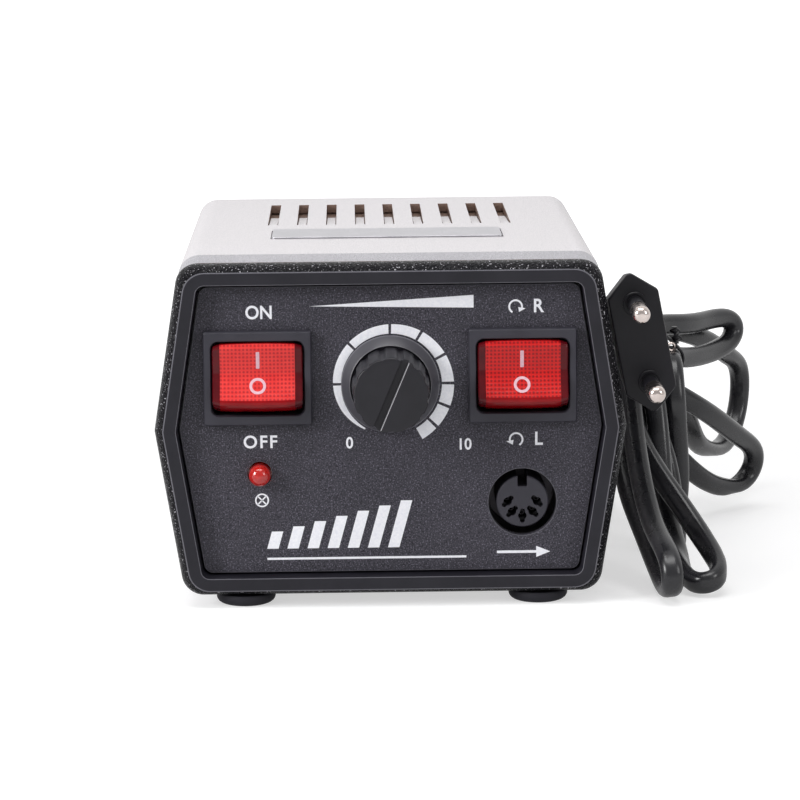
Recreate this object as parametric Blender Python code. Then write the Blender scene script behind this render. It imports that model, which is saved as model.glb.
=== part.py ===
"""Control box of a dental laboratory micromotor, with its mains lead tied in a hank.

Frame: metres, +Z up, the front panel faces -Y, +X is to the right seen from the front. The origin
lies under the middle of the box and its fittings, on the surface that the four feet stand on.
Each piece is one object. A piece that turns or slides has its origin on the axis of its joint.
"""
import math

import bmesh
import bpy
from mathutils import Matrix, Vector

MM = 0.001

# Clearances: between seated pieces, round a turning or sliding piece, and the overrun of every cutter
GAP = 0.3 * MM
RUNNING_GAP = 0.35 * MM
OVERRUN = 1.0 * MM

# Case: outline of the two shells seen from the front, widest at the waist
FOOT_HEIGHT = 2.8 * MM
SHELL_HEIGHT = 77.2 * MM
SHELL_WAIST_RISE = 38.2 * MM
SHELL_BOTTOM_HALF = 47.1 * MM
SHELL_WAIST_HALF = 53.3 * MM
SHELL_TOP_HALF = 47.3 * MM
SHELL_CORNER = 5.0 * MM
SHELL_KNEE = 3.0 * MM
SHELL_WALL = 2.0 * MM
CASE_DEPTH = 128.0 * MM
COVER_LIP_LENGTH = 7.5 * MM
COVER_LIP_DROP = 1.0 * MM
COVER_REAR_ROUND = 0.6 * MM

# Joint between the shells: a rib on the tray stands behind the lower edge of the cover
RIB_RISE = 9.0 * MM
RIB_DROP = 7.0 * MM
RIB_WALL = 2.4 * MM
RIB_END_CLEARANCE = 3.0 * MM

# Slots in the top, and in the floor of the tray
SLOT_COUNT = 9
SLOT_PITCH = 7.1 * MM
SLOT_WIDTH = 2.5 * MM
SLOT_LENGTH = 44.0 * MM
SLOT_FRONT = 68.0 * MM
FLOOR_SLOT_COUNT = 5
FLOOR_SLOT_LENGTH = 26.0 * MM
FLOOR_SLOT_FRONT = 31.0 * MM

# Bare plate on the top, in a shallow seat
PLATE_WIDTH = 54.4 * MM
PLATE_DEPTH = 16.5 * MM
PLATE_FRONT = 40.0 * MM
PLATE_THICKNESS = 0.8 * MM
PLATE_SEAT = 0.7 * MM

# Front bezel: flat rim, rolled flange in front of the shells, spigot inside them
FLANGE_PROUD = 0.35 * MM
FLANGE_TOP_DROP = 1.0 * MM
FLANGE_DEPTH = 3.7 * MM
FLANGE_BACK = 4.2 * MM
RIM_TOP_INSET = 1.8 * MM
RIM_UPPER_SIDE_INSET = 2.0 * MM
RIM_BOTTOM_INSET = 1.3 * MM
RIM_WIDTH = 2.9 * MM
RECESS_CORNER = 2.0 * MM
RECESS_DRAFT = 0.4 * MM
ROLL_STEPS = 5
ROLL_START = math.radians(24.0)
PANEL_RECESS = 3.5 * MM
PANEL_THICKNESS = 2.0 * MM
LEDGE_WIDTH = 2.0 * MM
LEDGE_THICKNESS = 2.0 * MM
SPIGOT_LENGTH = 6.0 * MM
SPIGOT_WALL = 1.8 * MM

# Rear panel, set back in the shells
REAR_RECESS = 3.5 * MM
REAR_THICKNESS = 2.0 * MM

# Feet
FOOT_SPREAD = 33.6 * MM
FOOT_DEPTHS = (8.0 * MM, 112.0 * MM)
FOOT_RADIUS = 6.8 * MM
FOOT_TREAD_RADIUS = 5.4 * MM
FOOT_RECESS_RADIUS = 2.6 * MM
FOOT_RECESS_DEPTH = 1.2 * MM
FOOT_STEM_RADIUS = 1.5 * MM
FOOT_BARB_RADIUS = 2.2 * MM
FOOT_BARB_HEIGHT = 2.0 * MM
FOOT_SOLE_SHARE = 0.12
FOOT_BULGE_SHARE = 0.45

# Screws that hold the cover to the ribs of the tray
CASE_SCREW_RISE = 4.6 * MM
CASE_SCREW_DEPTHS = (34.0 * MM, 96.0 * MM)
CASE_SCREW_SHANK = 1.4 * MM
CASE_SCREW_HEAD = 2.8 * MM
CASE_SCREW_HEAD_HEIGHT = 1.3 * MM
CASE_SCREW_RECESS_WIDTH = 0.7 * MM
CASE_SCREW_RECESS_DEPTH = 0.8 * MM
CASE_SCREW_LENGTH = 6.5 * MM

# Rocker switches, one each side of the knob
SWITCH_SHIFT = 3.35 * MM
SWITCH_RISE_SHARE = 0.66125
SWITCH_FRAME_WIDTH = 24.2 * MM
SWITCH_FRAME_HEIGHT = 21.0 * MM
SWITCH_FRAME_THICKNESS = 2.0 * MM
SWITCH_FRAME_ROUND = 0.6 * MM
SWITCH_OPENING_WIDTH = 20.6 * MM
SWITCH_OPENING_HEIGHT = 16.2 * MM
SWITCH_OPENING_CORNER = 1.6 * MM
SWITCH_BODY_WIDTH = 21.9 * MM
SWITCH_BODY_HEIGHT = 18.8 * MM
SWITCH_BODY_DEPTH = 19.0 * MM
SWITCH_WELL_DEPTH = 9.0 * MM
SWITCH_TAB_WIDTH = 4.8 * MM
SWITCH_TAB_THICKNESS = 0.8 * MM
SWITCH_TAB_LENGTH = 8.0 * MM
SWITCH_TAB_SPREAD = 5.0 * MM
ROCKER_PIVOT_DEPTH = 3.6 * MM
ROCKER_PIVOT_RADIUS = 1.5 * MM
ROCKER_PIVOT_LENGTH = 0.9 * MM
ROCKER_FACE_REACH = 4.3 * MM
ROCKER_EDGE_REACH = 6.0 * MM
ROCKER_EDGE_HALF = 6.6 * MM
ROCKER_SKIRT_DEPTH = 2.2 * MM
ROCKER_SIDE_ROUND = 0.7 * MM
ROCKER_BARREL_START = math.radians(17.5)
ROCKER_SECTION_SHARES = ((0.94, -0.5), (1.0, -0.46), (1.0, 0.46), (0.94, 0.5))
ROCKER_TILT = math.radians(11.0)

# Speed control: knob, potentiometer and its nut
KNOB_RISE_SHARE = 0.64
KNOB_SKIRT_RADIUS = 11.15 * MM
KNOB_SKIRT_EDGE = 1.2 * MM
KNOB_SHOULDER_RADIUS = 9.3 * MM
KNOB_SHOULDER_HEIGHT = 7.6 * MM
KNOB_GRIP_RADIUS = 8.8 * MM
KNOB_FACE_RADIUS = 8.15 * MM
KNOB_HEIGHT = 16.5 * MM
KNOB_FACE_ROUND = 0.5 * MM
KNOB_FLUTES = 13
KNOB_FLUTE_DEPTH = 0.7 * MM
KNOB_FLUTE_SHARES = (0.0, 0.0, 0.75, 1.0, 1.0, 0.75)
KNOB_TIP_FLUTE_SHARE = 0.9
KNOB_GROOVE_WIDTH = 1.9 * MM
KNOB_GROOVE_DEPTH = 0.9 * MM
KNOB_CAVITY_RADIUS = 8.0 * MM
KNOB_CAVITY_DEPTH = 4.6 * MM
KNOB_BORE_DEPTH = 13.0 * MM
KNOB_REST_TURN = math.radians(23.0)
SHAFT_RADIUS = 3.0 * MM
BUSHING_RADIUS = 3.5 * MM
BUSHING_LENGTH = 6.0 * MM
NUT_ACROSS_FLATS = 11.0 * MM
NUT_THICKNESS = 2.2 * MM
POT_RADIUS = 12.0 * MM
POT_DEPTH = 9.5 * MM
POT_TAB_WIDTH = 13.0 * MM
POT_TAB_DROP = 5.0 * MM
POT_TAB_THICKNESS = 2.0 * MM

# Pilot lamp
LED_SHIFT = 3.25 * MM
LED_RISE_SHARE = 0.3825
LED_RADIUS = 2.5 * MM
LED_PROUD = 4.2 * MM
LED_COLLAR_RADIUS = 3.1 * MM
LED_COLLAR_THICKNESS = 1.0 * MM
LED_TAIL_LENGTH = 7.0 * MM
LED_TAIL_WIDTH = 0.6 * MM
LED_TAIL_SPREAD = 1.27 * MM

# Output socket: round insert with five contacts in a shell behind the panel
SOCKET_SHIFT = 3.25 * MM
SOCKET_RISE_SHARE = 0.2925
SOCKET_MOUTH_RADIUS = 7.75 * MM
SOCKET_SHELL_RADIUS = 9.0 * MM
SOCKET_SHELL_DEPTH = 14.0 * MM
SOCKET_BACK_THICKNESS = 2.0 * MM
SOCKET_FLANGE_WIDTH = 21.4 * MM
SOCKET_FLANGE_HEIGHT = 21.4 * MM
SOCKET_FLANGE_THICKNESS = 1.6 * MM
SOCKET_FLANGE_CORNER = 4.0 * MM
INSERT_RADIUS = 5.95 * MM
INSERT_SETBACK = 0.6 * MM
INSERT_KEY_WIDTH = 2.2 * MM
INSERT_KEY_DEPTH = 2.6 * MM
CONTACT_CIRCLE = 3.35 * MM
CONTACT_ANGLES = (0.0, -45.0, -90.0, -135.0, -180.0)
CONTACT_HOLE_RADIUS = 0.95 * MM
CONTACT_RADIUS = 0.65 * MM
CONTACT_BORE_RADIUS = 0.4 * MM
CONTACT_SETBACK = 1.2 * MM
CONTACT_TAIL = 3.0 * MM
CONTACT_BORE_SHARE = 0.6

# Control board on four standoffs, with its tall parts
BOARD_WIDTH = 78.0 * MM
BOARD_DEPTH = 31.0 * MM
BOARD_FRONT = 20.0 * MM
BOARD_THICKNESS = 1.6 * MM
BOARD_CORNER_INSET = 4.0 * MM
STANDOFF_RADIUS = 3.0 * MM
STANDOFF_HEIGHT = 6.0 * MM
STANDOFF_PIN_RADIUS = 1.4 * MM
STANDOFF_PIN_HEIGHT = 1.5 * MM
CAPACITOR_RADIUS = 8.0 * MM
CAPACITOR_HEIGHT = 21.0 * MM
CAPACITOR_SHIFT = -2.0 * MM
CAPACITOR_GROOVE = 0.5 * MM
CAPACITOR_GROOVE_RISE = 2.5 * MM
RECTIFIER_WIDTH = 15.0 * MM
RECTIFIER_DEPTH = 4.5 * MM
RECTIFIER_HEIGHT = 11.0 * MM
RECTIFIER_SHIFT = 26.0 * MM
SINK_WIDTH = 26.0 * MM
SINK_DEPTH = 10.0 * MM
SINK_HEIGHT = 18.0 * MM
SINK_WALL = 2.0 * MM
SINK_FINS = 5
SINK_SHIFT = -25.0 * MM
TRANSISTOR_WIDTH = 10.0 * MM
TRANSISTOR_DEPTH = 4.4 * MM
TRANSISTOR_HEIGHT = 9.2 * MM
TRANSISTOR_TAB_HEIGHT = 15.4 * MM
TRANSISTOR_TAB_THICKNESS = 1.3 * MM
TRANSISTOR_LEG_HEIGHT = 4.0 * MM
TRANSISTOR_HOLE_RADIUS = 1.8 * MM

# Mains transformer: laminated core, bobbin and winding, strap with two feet
CORE_WIDTH = 57.0 * MM
CORE_HEIGHT = 48.0 * MM
CORE_STACK = 26.0 * MM
CORE_LIMB = 9.5 * MM
CORE_TONGUE = 19.0 * MM
CORE_FRONT = 64.0 * MM
CORE_LIFT = 2.0 * MM
WINDING_OVERHANG = 8.0 * MM
WINDING_CHEEK = 1.2 * MM
WINDING_INSET = 1.6 * MM
STRAP_THICKNESS = 1.2 * MM
STRAP_DEPTH = 18.0 * MM
STRAP_FOOT = 9.0 * MM
STRAP_SCREW_RADIUS = 1.9 * MM
STRAP_SCREW_HEAD = 3.4 * MM
STRAP_SCREW_HEAD_HEIGHT = 2.2 * MM
STRAP_SCREW_LENGTH = 6.0 * MM
STRAP_SCREW_RIM_SHARE = 0.5
STRAP_SCREW_TOP_SHARE = 0.6
STRAP_BOSS_RADIUS = 4.2 * MM

# Fuse holder in the rear panel, seen from behind at the upper right
FUSE_SPREAD = 27.0 * MM
FUSE_RISE_SHARE = 0.7
FUSE_BODY_RADIUS = 6.0 * MM
FUSE_BODY_DEPTH = 30.0 * MM
FUSE_FLANGE_RADIUS = 8.4 * MM
FUSE_FLANGE_THICKNESS = 2.0 * MM
FUSE_BORE_RADIUS = 4.6 * MM
FUSE_BORE_DEPTH = 29.0 * MM
FUSE_NUT_RADIUS = 8.0 * MM
FUSE_NUT_THICKNESS = 3.0 * MM
FUSE_CAP_RADIUS = 6.2 * MM
FUSE_CAP_LENGTH = 8.0 * MM
FUSE_CAP_RIBS = 16
FUSE_CAP_RIB_DEPTH = 0.35 * MM
FUSE_CAP_CHAMFER = 0.6 * MM
FUSE_CAP_SLOT_WIDTH = 1.4 * MM
FUSE_CAP_SLOT_DEPTH = 1.2 * MM
FUSE_PLUG_RADIUS = 4.2 * MM
FUSE_PLUG_LENGTH = 7.0 * MM
FUSE_LINK_RADIUS = 2.6 * MM
FUSE_LINK_LENGTH = 20.0 * MM
FUSE_LINK_END = 5.5 * MM
FUSE_LINK_WAIST = 0.25 * MM

# Pedal socket in the rear panel, seen from behind at the lower right
PEDAL_SPREAD = 27.0 * MM
PEDAL_RISE_SHARE = 0.3
PEDAL_BUSHING_RADIUS = 4.7 * MM
PEDAL_BORE_RADIUS = 3.3 * MM
PEDAL_PROUD = 3.0 * MM
PEDAL_BODY_WIDTH = 16.0 * MM
PEDAL_BODY_HEIGHT = 14.0 * MM
PEDAL_BODY_DEPTH = 22.0 * MM
PEDAL_BODY_CORNER = 1.0 * MM
PEDAL_BORE_DEPTH = 20.0 * MM
PEDAL_NUT_ACROSS_FLATS = 12.0 * MM
PEDAL_NUT_THICKNESS = 2.0 * MM

# Mains voltage selector in the rear panel
SELECTOR_RISE_SHARE = 0.7
SELECTOR_FACE_WIDTH = 19.0 * MM
SELECTOR_FACE_HEIGHT = 10.0 * MM
SELECTOR_FACE_THICKNESS = 1.0 * MM
SELECTOR_BODY_WIDTH = 16.0 * MM
SELECTOR_BODY_HEIGHT = 8.0 * MM
SELECTOR_BODY_DEPTH = 9.0 * MM
SELECTOR_WELL_WIDTH = 11.6 * MM
SELECTOR_WELL_HEIGHT = 4.6 * MM
SELECTOR_WELL_DEPTH = 4.0 * MM
SELECTOR_TRAVEL = 5.0 * MM
SELECTOR_SLIDER_SETBACK = 0.4 * MM

# Rear slots, low between the pedal socket and the cord
REAR_SLOT_COUNT = 5
REAR_SLOT_PITCH = 5.0 * MM
REAR_SLOT_WIDTH = 2.0 * MM
REAR_SLOT_HEIGHT = 16.0 * MM
REAR_SLOT_RISE_SHARE = 0.4
REAR_SLOT_CORNER = 0.9 * MM

# Mains lead: flat twin cable, its width is given as its diameter
CORD_WIDTH = 5.2 * MM
CORD_SPREAD = 33.0 * MM
CORD_RISE_SHARE = 0.25
CORD_STEP = 9.0 * MM
CORD_LEAST_GAP = 0.4 * MM
CORD_NEAR = 16.0 * MM

# Hank: seven straight runs through a tie beside the case, column and row of each in turn
RUN_SPREAD = 57.3 * MM
RUN_RISE = 40.4 * MM
RUN_PITCH = 6.0 * MM
RUN_FRONT = 60.0 * MM
RUN_BACK = 72.0 * MM
RUN_PLACES = ((0, 0), (0, 2), (1, 1), (0, 1), (1, 0), (2, 1), (1, 2))
TIE_WIDTH = 4.0 * MM
TIE_THICKNESS = 0.8 * MM
TIE_KNOT_WIDTH = 3.0 * MM
TIE_KNOT_HEIGHT = 4.4 * MM
TIE_KNOT_RISE = 3.6 * MM

# Points of the lead in millimetres: right of the middle, behind the rim, above the floor. A fold has
# the points that lead out to it, its own start, tip and end, and the points that lead back.
CORD_TAIL = (
    (33.0, 156.0, 20.0), (35.0, 166.0, 15.0), (41.0, 172.0, 7.5), (49.0, 169.0, 3.3), (55.0, 158.0, 2.9),
    (57.0, 142.0, 2.9), (57.0, 124.0, 3.3), (56.6, 110.0, 8.0), (56.4, 96.0, 19.0), (56.6, 82.0, 33.0),
)
CORD_FOLDS = (
    (((56.9, 54.5, 35.0), (56.7, 42.0, 21.0), (60.0, 26.0, 10.5), (62.5, 12.0, 4.0)),
     ((63.4, -0.2, 3.0), (63.8, -4.4, 7.1), (62.9, 0.0, 11.2)),
     ((60.4, 16.0, 16.6), (58.5, 30.0, 27.5), (58.0, 41.0, 37.5), (57.6, 47.0, 45.0), (57.4, 53.0, 50.9))),
    (((60.0, 83.0, 52.8), (67.0, 94.0, 50.5), (78.0, 104.0, 46.6), (86.0, 116.0, 41.6)),
     ((91.0, 126.0, 36.5), (94.6, 135.0, 26.5), (89.5, 126.0, 13.8)),
     ((81.0, 107.0, 17.0), (77.0, 95.0, 25.0), (73.0, 86.5, 33.0), (65.6, 79.8, 42.8))),
    (((63.1, 56.0, 45.5), (63.7, 51.5, 43.0), (64.8, 46.0, 31.5), (65.4, 38.5, 18.5), (67.0, 25.0, 8.0)),
     ((69.2, 8.0, 3.0), (72.6, 4.4, 3.6), (76.0, 8.0, 4.6)),
     ((73.0, 20.0, 10.5), (65.7, 32.0, 21.0), (61.8, 38.0, 26.6), (58.7, 46.0, 34.3), (57.6, 54.8, 44.4))),
    (((58.2, 79.0, 43.2), (62.3, 86.5, 34.5), (68.3, 88.0, 24.0), (76.5, 89.5, 14.5), (83.0, 96.5, 9.0)),
     ((89.5, 103.5, 6.6), (95.4, 108.5, 11.4), (92.5, 101.5, 18.4)),
     ((82.5, 86.0, 28.0), (76.0, 79.3, 33.0), (68.6, 76.6, 37.6))),
    (((63.6, 55.8, 37.0), (64.8, 53.6, 31.5), (67.3, 51.4, 23.0)),
     ((69.4, 50.2, 7.6), (69.9, 54.8, 2.75), (70.4, 59.4, 7.6)),
     ((71.0, 58.8, 18.0), (70.4, 57.2, 28.0), (69.7, 55.4, 38.0))),
    (((71.0, 77.5, 45.0), (78.5, 89.5, 43.0)),
     ((88.8, 105.5, 44.5), (90.4, 108.2, 47.5), (88.8, 105.5, 50.5)),
     ((82.0, 98.0, 50.9), (76.0, 88.0, 51.5), (68.0, 80.0, 52.6))),
)
CORD_HEAD = ((61.8, 55.4, 56.6),)
RELIEF_FLANGE_RADIUS = 6.6 * MM
RELIEF_FLANGE_THICKNESS = 2.4 * MM
RELIEF_NECK_RADIUS = 4.4 * MM
RELIEF_HEAD_RADIUS = 6.0 * MM
RELIEF_HEAD_LENGTH = 5.0 * MM
RELIEF_ROOT_RADIUS = 4.9 * MM
RELIEF_TIP_RADIUS = 3.7 * MM
RELIEF_LENGTH = 24.0 * MM
RELIEF_RIBS = 6
RELIEF_RIB_DEPTH = 0.7 * MM
RELIEF_GROOVE_SHARE = 0.4

# Two-pin plug: six-sided front, tapered back, sleeved pins; it leans against the case
PLUG_SPREAD = 57.7 * MM
PLUG_RISE = 58.9 * MM
PLUG_LEAN = math.radians(-10.9)
PLUG_FACE = 9.0 * MM
PLUG_LENGTH = 33.2 * MM
PLUG_WIDTH = 11.7 * MM
PLUG_POINT = 5.2 * MM
PLUG_EDGE = 0.5 * MM
PLUG_FULL_DEPTH = 15.0 * MM
PLUG_WAIST_DEPTH = 26.0 * MM
PLUG_WAIST_LENGTH = 18.0 * MM
PLUG_WAIST_WIDTH = 10.4 * MM
PLUG_DEPTH = 34.0 * MM
PLUG_TAIL_LENGTH = 10.0 * MM
PLUG_TAIL_WIDTH = 8.4 * MM
PLUG_CORNER = 1.2 * MM
PIN_SPACING = 18.4 * MM
PIN_RADIUS = 2.0 * MM
PIN_LENGTH = 19.0 * MM
PIN_BARE_LENGTH = 9.0 * MM
PIN_STEM_RADIUS = 1.1 * MM
SLEEVE_RADIUS = 1.9 * MM

# Segments round turned pieces, at round corners and on domes
FINE_STEPS = 32
ROUND_STEPS = 24
MEDIUM_STEPS = 16
SMALL_STEPS = 12
CORNER_STEPS = 4
PLUG_CORNER_STEPS = 2
DOME_STEPS = 4
SHARP_ANGLE = math.radians(35.0)

# Where the front of the rim lies, so that the origin is under the middle of the whole box
PANEL_FRONT_DEPTH = PANEL_RECESS
PANEL_BACK_DEPTH = PANEL_RECESS + PANEL_THICKNESS
REAR_OUTER_DEPTH = CASE_DEPTH - REAR_RECESS
REAR_INNER_DEPTH = REAR_OUTER_DEPTH - REAR_THICKNESS
FRONT_REACH = KNOB_HEIGHT + GAP + RUNNING_GAP - PANEL_FRONT_DEPTH
REAR_REACH = FUSE_FLANGE_THICKNESS + GAP + RUNNING_GAP + FUSE_CAP_LENGTH - REAR_RECESS
FRONT = FRONT_REACH - (FRONT_REACH + CASE_DEPTH + REAR_REACH) / 2.0

SHELL_BOTTOM = FOOT_HEIGHT
SHELL_TOP = FOOT_HEIGHT + SHELL_HEIGHT
SPLIT = FOOT_HEIGHT + SHELL_WAIST_RISE
FLOOR = SHELL_BOTTOM + SHELL_WALL

# Places of the fittings: the heights follow the height of the top, and what lies beside the knob
# lies midway between it and the waist, shifted outwards
SWITCH_SPREAD = SHELL_WAIST_HALF / 2.0 + SWITCH_SHIFT
LED_SPREAD = SHELL_WAIST_HALF / 2.0 + LED_SHIFT
SOCKET_SPREAD = SHELL_WAIST_HALF / 2.0 + SOCKET_SHIFT
SWITCH_RISE = SHELL_TOP * SWITCH_RISE_SHARE
KNOB_RISE = SHELL_TOP * KNOB_RISE_SHARE
LED_RISE = SHELL_TOP * LED_RISE_SHARE
SOCKET_RISE = SHELL_TOP * SOCKET_RISE_SHARE
FUSE_RISE = SHELL_TOP * FUSE_RISE_SHARE
PEDAL_RISE = SHELL_TOP * PEDAL_RISE_SHARE
SELECTOR_RISE = SHELL_TOP * SELECTOR_RISE_SHARE
REAR_SLOT_RISE = SHELL_TOP * REAR_SLOT_RISE_SHARE
CORD_RISE = SHELL_TOP * CORD_RISE_SHARE


def y_at(depth):
    """Y of a plane that lies this far behind the front of the rim."""
    return FRONT + depth


def material(name, colour, roughness, metallic=0.0):
    """One Principled material."""
    made = bpy.data.materials.get(name)
    if made is None:
        made = bpy.data.materials.new(name)
        made.use_nodes = True
        shader = made.node_tree.nodes["Principled BSDF"]
        shader.inputs["Base Color"].default_value = (*colour, 1.0)
        shader.inputs["Roughness"].default_value = roughness
        shader.inputs["Metallic"].default_value = metallic
        made.diffuse_color = (*colour, 1.0)
    return made


def black_plastic():
    return material("black_plastic", (0.018, 0.018, 0.021), 0.45)


def panel_paint():
    return material("panel_paint", (0.030, 0.030, 0.036), 0.65)


def silver_paint():
    return material("silver_paint", (0.78, 0.77, 0.77), 0.45)


def brushed_metal():
    return material("brushed_metal", (0.62, 0.62, 0.63), 0.35, 1.0)


def red_lens():
    return material("red_lens", (0.80, 0.035, 0.03), 0.25)


def black_rubber():
    return material("black_rubber", (0.014, 0.014, 0.016), 0.75)


def nickel():
    return material("nickel", (0.70, 0.66, 0.60), 0.22, 1.0)


def brass():
    return material("brass", (0.72, 0.55, 0.26), 0.35, 1.0)


def steel():
    return material("steel", (0.55, 0.55, 0.56), 0.4, 1.0)


def board_green():
    return material("board_green", (0.03, 0.16, 0.07), 0.5)


def winding_tape():
    return material("winding_tape", (0.55, 0.42, 0.16), 0.5)


def cord_vinyl():
    return material("cord_vinyl", (0.020, 0.020, 0.023), 0.4)


def glass():
    return material("glass", (0.75, 0.80, 0.80), 0.1)


def remove_all():
    """Empty the scene, without closing the file."""
    for thing in list(bpy.data.objects):
        bpy.data.objects.remove(thing, do_unlink=True)


def add_object(name, mesh_maker, surface, place=None):
    """Turn a bmesh into an object with smooth round faces, at the given place."""
    mesh = bpy.data.meshes.new(name)
    bmesh.ops.recalc_face_normals(mesh_maker, faces=mesh_maker.faces)
    mesh_maker.to_mesh(mesh)
    mesh_maker.free()
    mesh.shade_smooth()
    mesh.set_sharp_from_angle(angle=SHARP_ANGLE)
    if surface is not None:
        mesh.materials.append(surface)
    thing = bpy.data.objects.new(name, mesh)
    bpy.context.scene.collection.objects.link(thing)
    if place is not None:
        thing.matrix_world = place
    return thing


def as_tool(thing):
    """Mark an object as a cutter, which isn't a piece of the model."""
    thing.hide_render = True
    thing.display_type = "WIRE"
    return thing


def combine(target, tool, operation):
    """Cut or join one object with another by a Boolean modifier."""
    as_tool(tool)
    step = target.modifiers.new(tool.name, "BOOLEAN")
    step.operation = operation
    step.object = tool
    step.solver = "EXACT"
    return target


def cut(target, tool):
    return combine(target, tool, "DIFFERENCE")


def fuse(target, tool):
    return combine(target, tool, "UNION")


def fillet(corners, radii, steps, closed=True):
    """Outline through the corners with an arc of the given radius at each; an open one keeps its ends."""
    count = len(corners)
    points = []
    for index, corner in enumerate(corners):
        here = Vector(corner)
        if not closed and index in (0, count - 1):
            points.append(here)
            continue
        before = (Vector(corners[index - 1]) - here).normalized()
        after = (Vector(corners[(index + 1) % count]) - here).normalized()
        half = before.angle(after) / 2.0
        reach = radii[index] / math.tan(half)
        middle = here + (before + after).normalized() * (radii[index] / math.sin(half))
        start = here + before * reach - middle
        end = here + after * reach - middle
        sweep = start.angle_signed(end)
        for step in range(steps + 1):
            turn = Matrix.Rotation(-sweep * step / steps, 2)
            points.append(middle + turn @ start)
    return points


def inset_corners(corners, inset):
    """Corners of a convex anticlockwise outline with every side moved inwards."""
    count = len(corners)
    sides = []
    for index in range(count):
        start = Vector(corners[index])
        along = (Vector(corners[(index + 1) % count]) - start).normalized()
        inward = Vector((-along.y, along.x))
        sides.append((start + inward * inset, along))
    moved = []
    for index in range(count):
        point_a, along_a = sides[index - 1]
        point_b, along_b = sides[index]
        cross = along_a.x * along_b.y - along_a.y * along_b.x
        apart = point_b - point_a
        reach = (apart.x * along_b.y - apart.y * along_b.x) / cross
        moved.append(point_a + along_a * reach)
    return moved


def blend_corners(corners_a, corners_b, share):
    """Corners a share of the way from one outline to another."""
    return [Vector(a).lerp(Vector(b), share) for a, b in zip(corners_a, corners_b)]


def shell_corners():
    """Six corners of the shells, anticlockwise seen from the front, starting at the bottom left."""
    return [
        Vector((-SHELL_BOTTOM_HALF, SHELL_BOTTOM)),
        Vector((SHELL_BOTTOM_HALF, SHELL_BOTTOM)),
        Vector((SHELL_WAIST_HALF, SPLIT)),
        Vector((SHELL_TOP_HALF, SHELL_TOP)),
        Vector((-SHELL_TOP_HALF, SHELL_TOP)),
        Vector((-SHELL_WAIST_HALF, SPLIT)),
    ]


def flange_corners():
    """Corners of the bezel's flange, a little proud of the shells at the sides and lower at the top."""
    corners = inset_corners(shell_corners(), -FLANGE_PROUD)
    for index in (3, 4):
        corners[index].y = SHELL_TOP - FLANGE_TOP_DROP
    for index in (0, 1):
        corners[index].y = SHELL_BOTTOM
    return corners


def rim_corners():
    """Corners of the flat rim at the very front."""
    corners = inset_corners(flange_corners(), RIM_UPPER_SIDE_INSET)
    for index in (3, 4):
        corners[index].y = SHELL_TOP - FLANGE_TOP_DROP - RIM_TOP_INSET
    for index in (0, 1):
        corners[index].y = SHELL_BOTTOM + RIM_BOTTOM_INSET
    return corners


def recess_corners():
    """Corners of the recess that the panel lies in."""
    return inset_corners(rim_corners(), RIM_WIDTH)


def hexagon(corners, corner_radius, knee_radius):
    """Rounded outline of a six-cornered shape, knees at the waist."""
    radii = (corner_radius, corner_radius, knee_radius, corner_radius, corner_radius, knee_radius)
    return fillet(corners, radii, CORNER_STEPS)


def half_width_at(corners, height):
    """Half width of a six-cornered outline at a height."""
    low, high = (corners[2], corners[3]) if height > corners[2].y else (corners[1], corners[2])
    share = (height - low.y) / (high.y - low.y)
    return low.x + (high.x - low.x) * share


def ring_at(outline, depth):
    """An outline in X and Z as a ring of points at a depth behind the rim."""
    return [Vector((point[0], y_at(depth), point[1])) for point in outline]


def loft(name, rings, surface, loop=False, place=None):
    """Skin over rings of equal count; the ends are capped unless the last ring joins the first."""
    shape = bmesh.new()
    rows = [[shape.verts.new(point) for point in ring] for ring in rings]
    pairs = list(zip(rows, rows[1:]))
    if loop:
        pairs.append((rows[-1], rows[0]))
    for row_a, row_b in pairs:
        for index in range(len(row_a)):
            after = (index + 1) % len(row_a)
            shape.faces.new((row_a[index], row_a[after], row_b[after], row_b[index]))
    if not loop:
        shape.faces.new(rows[0])
        shape.faces.new(list(reversed(rows[-1])))
    return add_object(name, shape, surface, place)


def prism(name, outline, depth_front, depth_back, surface=None):
    """Straight extrusion of an outline along Y."""
    return loft(name, [ring_at(outline, depth_front), ring_at(outline, depth_back)], surface)


def rounded_rectangle(width, height, radius, centre=(0.0, 0.0)):
    """Outline of a rectangle with round corners."""
    half_w = width / 2.0
    half_h = height / 2.0
    corners = [(-half_w, -half_h), (half_w, -half_h), (half_w, half_h), (-half_w, half_h)]
    placed = [(centre[0] + x, centre[1] + z) for x, z in corners]
    return fillet(placed, (radius,) * len(placed), CORNER_STEPS)


def rectangle(width, height, centre=(0.0, 0.0)):
    """Outline of a rectangle."""
    half_w = width / 2.0
    half_h = height / 2.0
    corners = [(-half_w, -half_h), (half_w, -half_h), (half_w, half_h), (-half_w, half_h)]
    return [(centre[0] + x, centre[1] + z) for x, z in corners]


def circle(radius, steps, centre=(0.0, 0.0)):
    """Outline of a circle."""
    points = []
    for step in range(steps):
        angle = math.tau * step / steps
        points.append((centre[0] + radius * math.cos(angle), centre[1] + radius * math.sin(angle)))
    return points


def block(name, low, high, surface=None):
    """Box between two corners."""
    outline = [(low[0], low[2]), (high[0], low[2]), (high[0], high[2]), (low[0], high[2])]
    rings = [[Vector((x, y, z)) for x, z in outline] for y in (low[1], high[1])]
    return loft(name, rings, surface)


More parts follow.
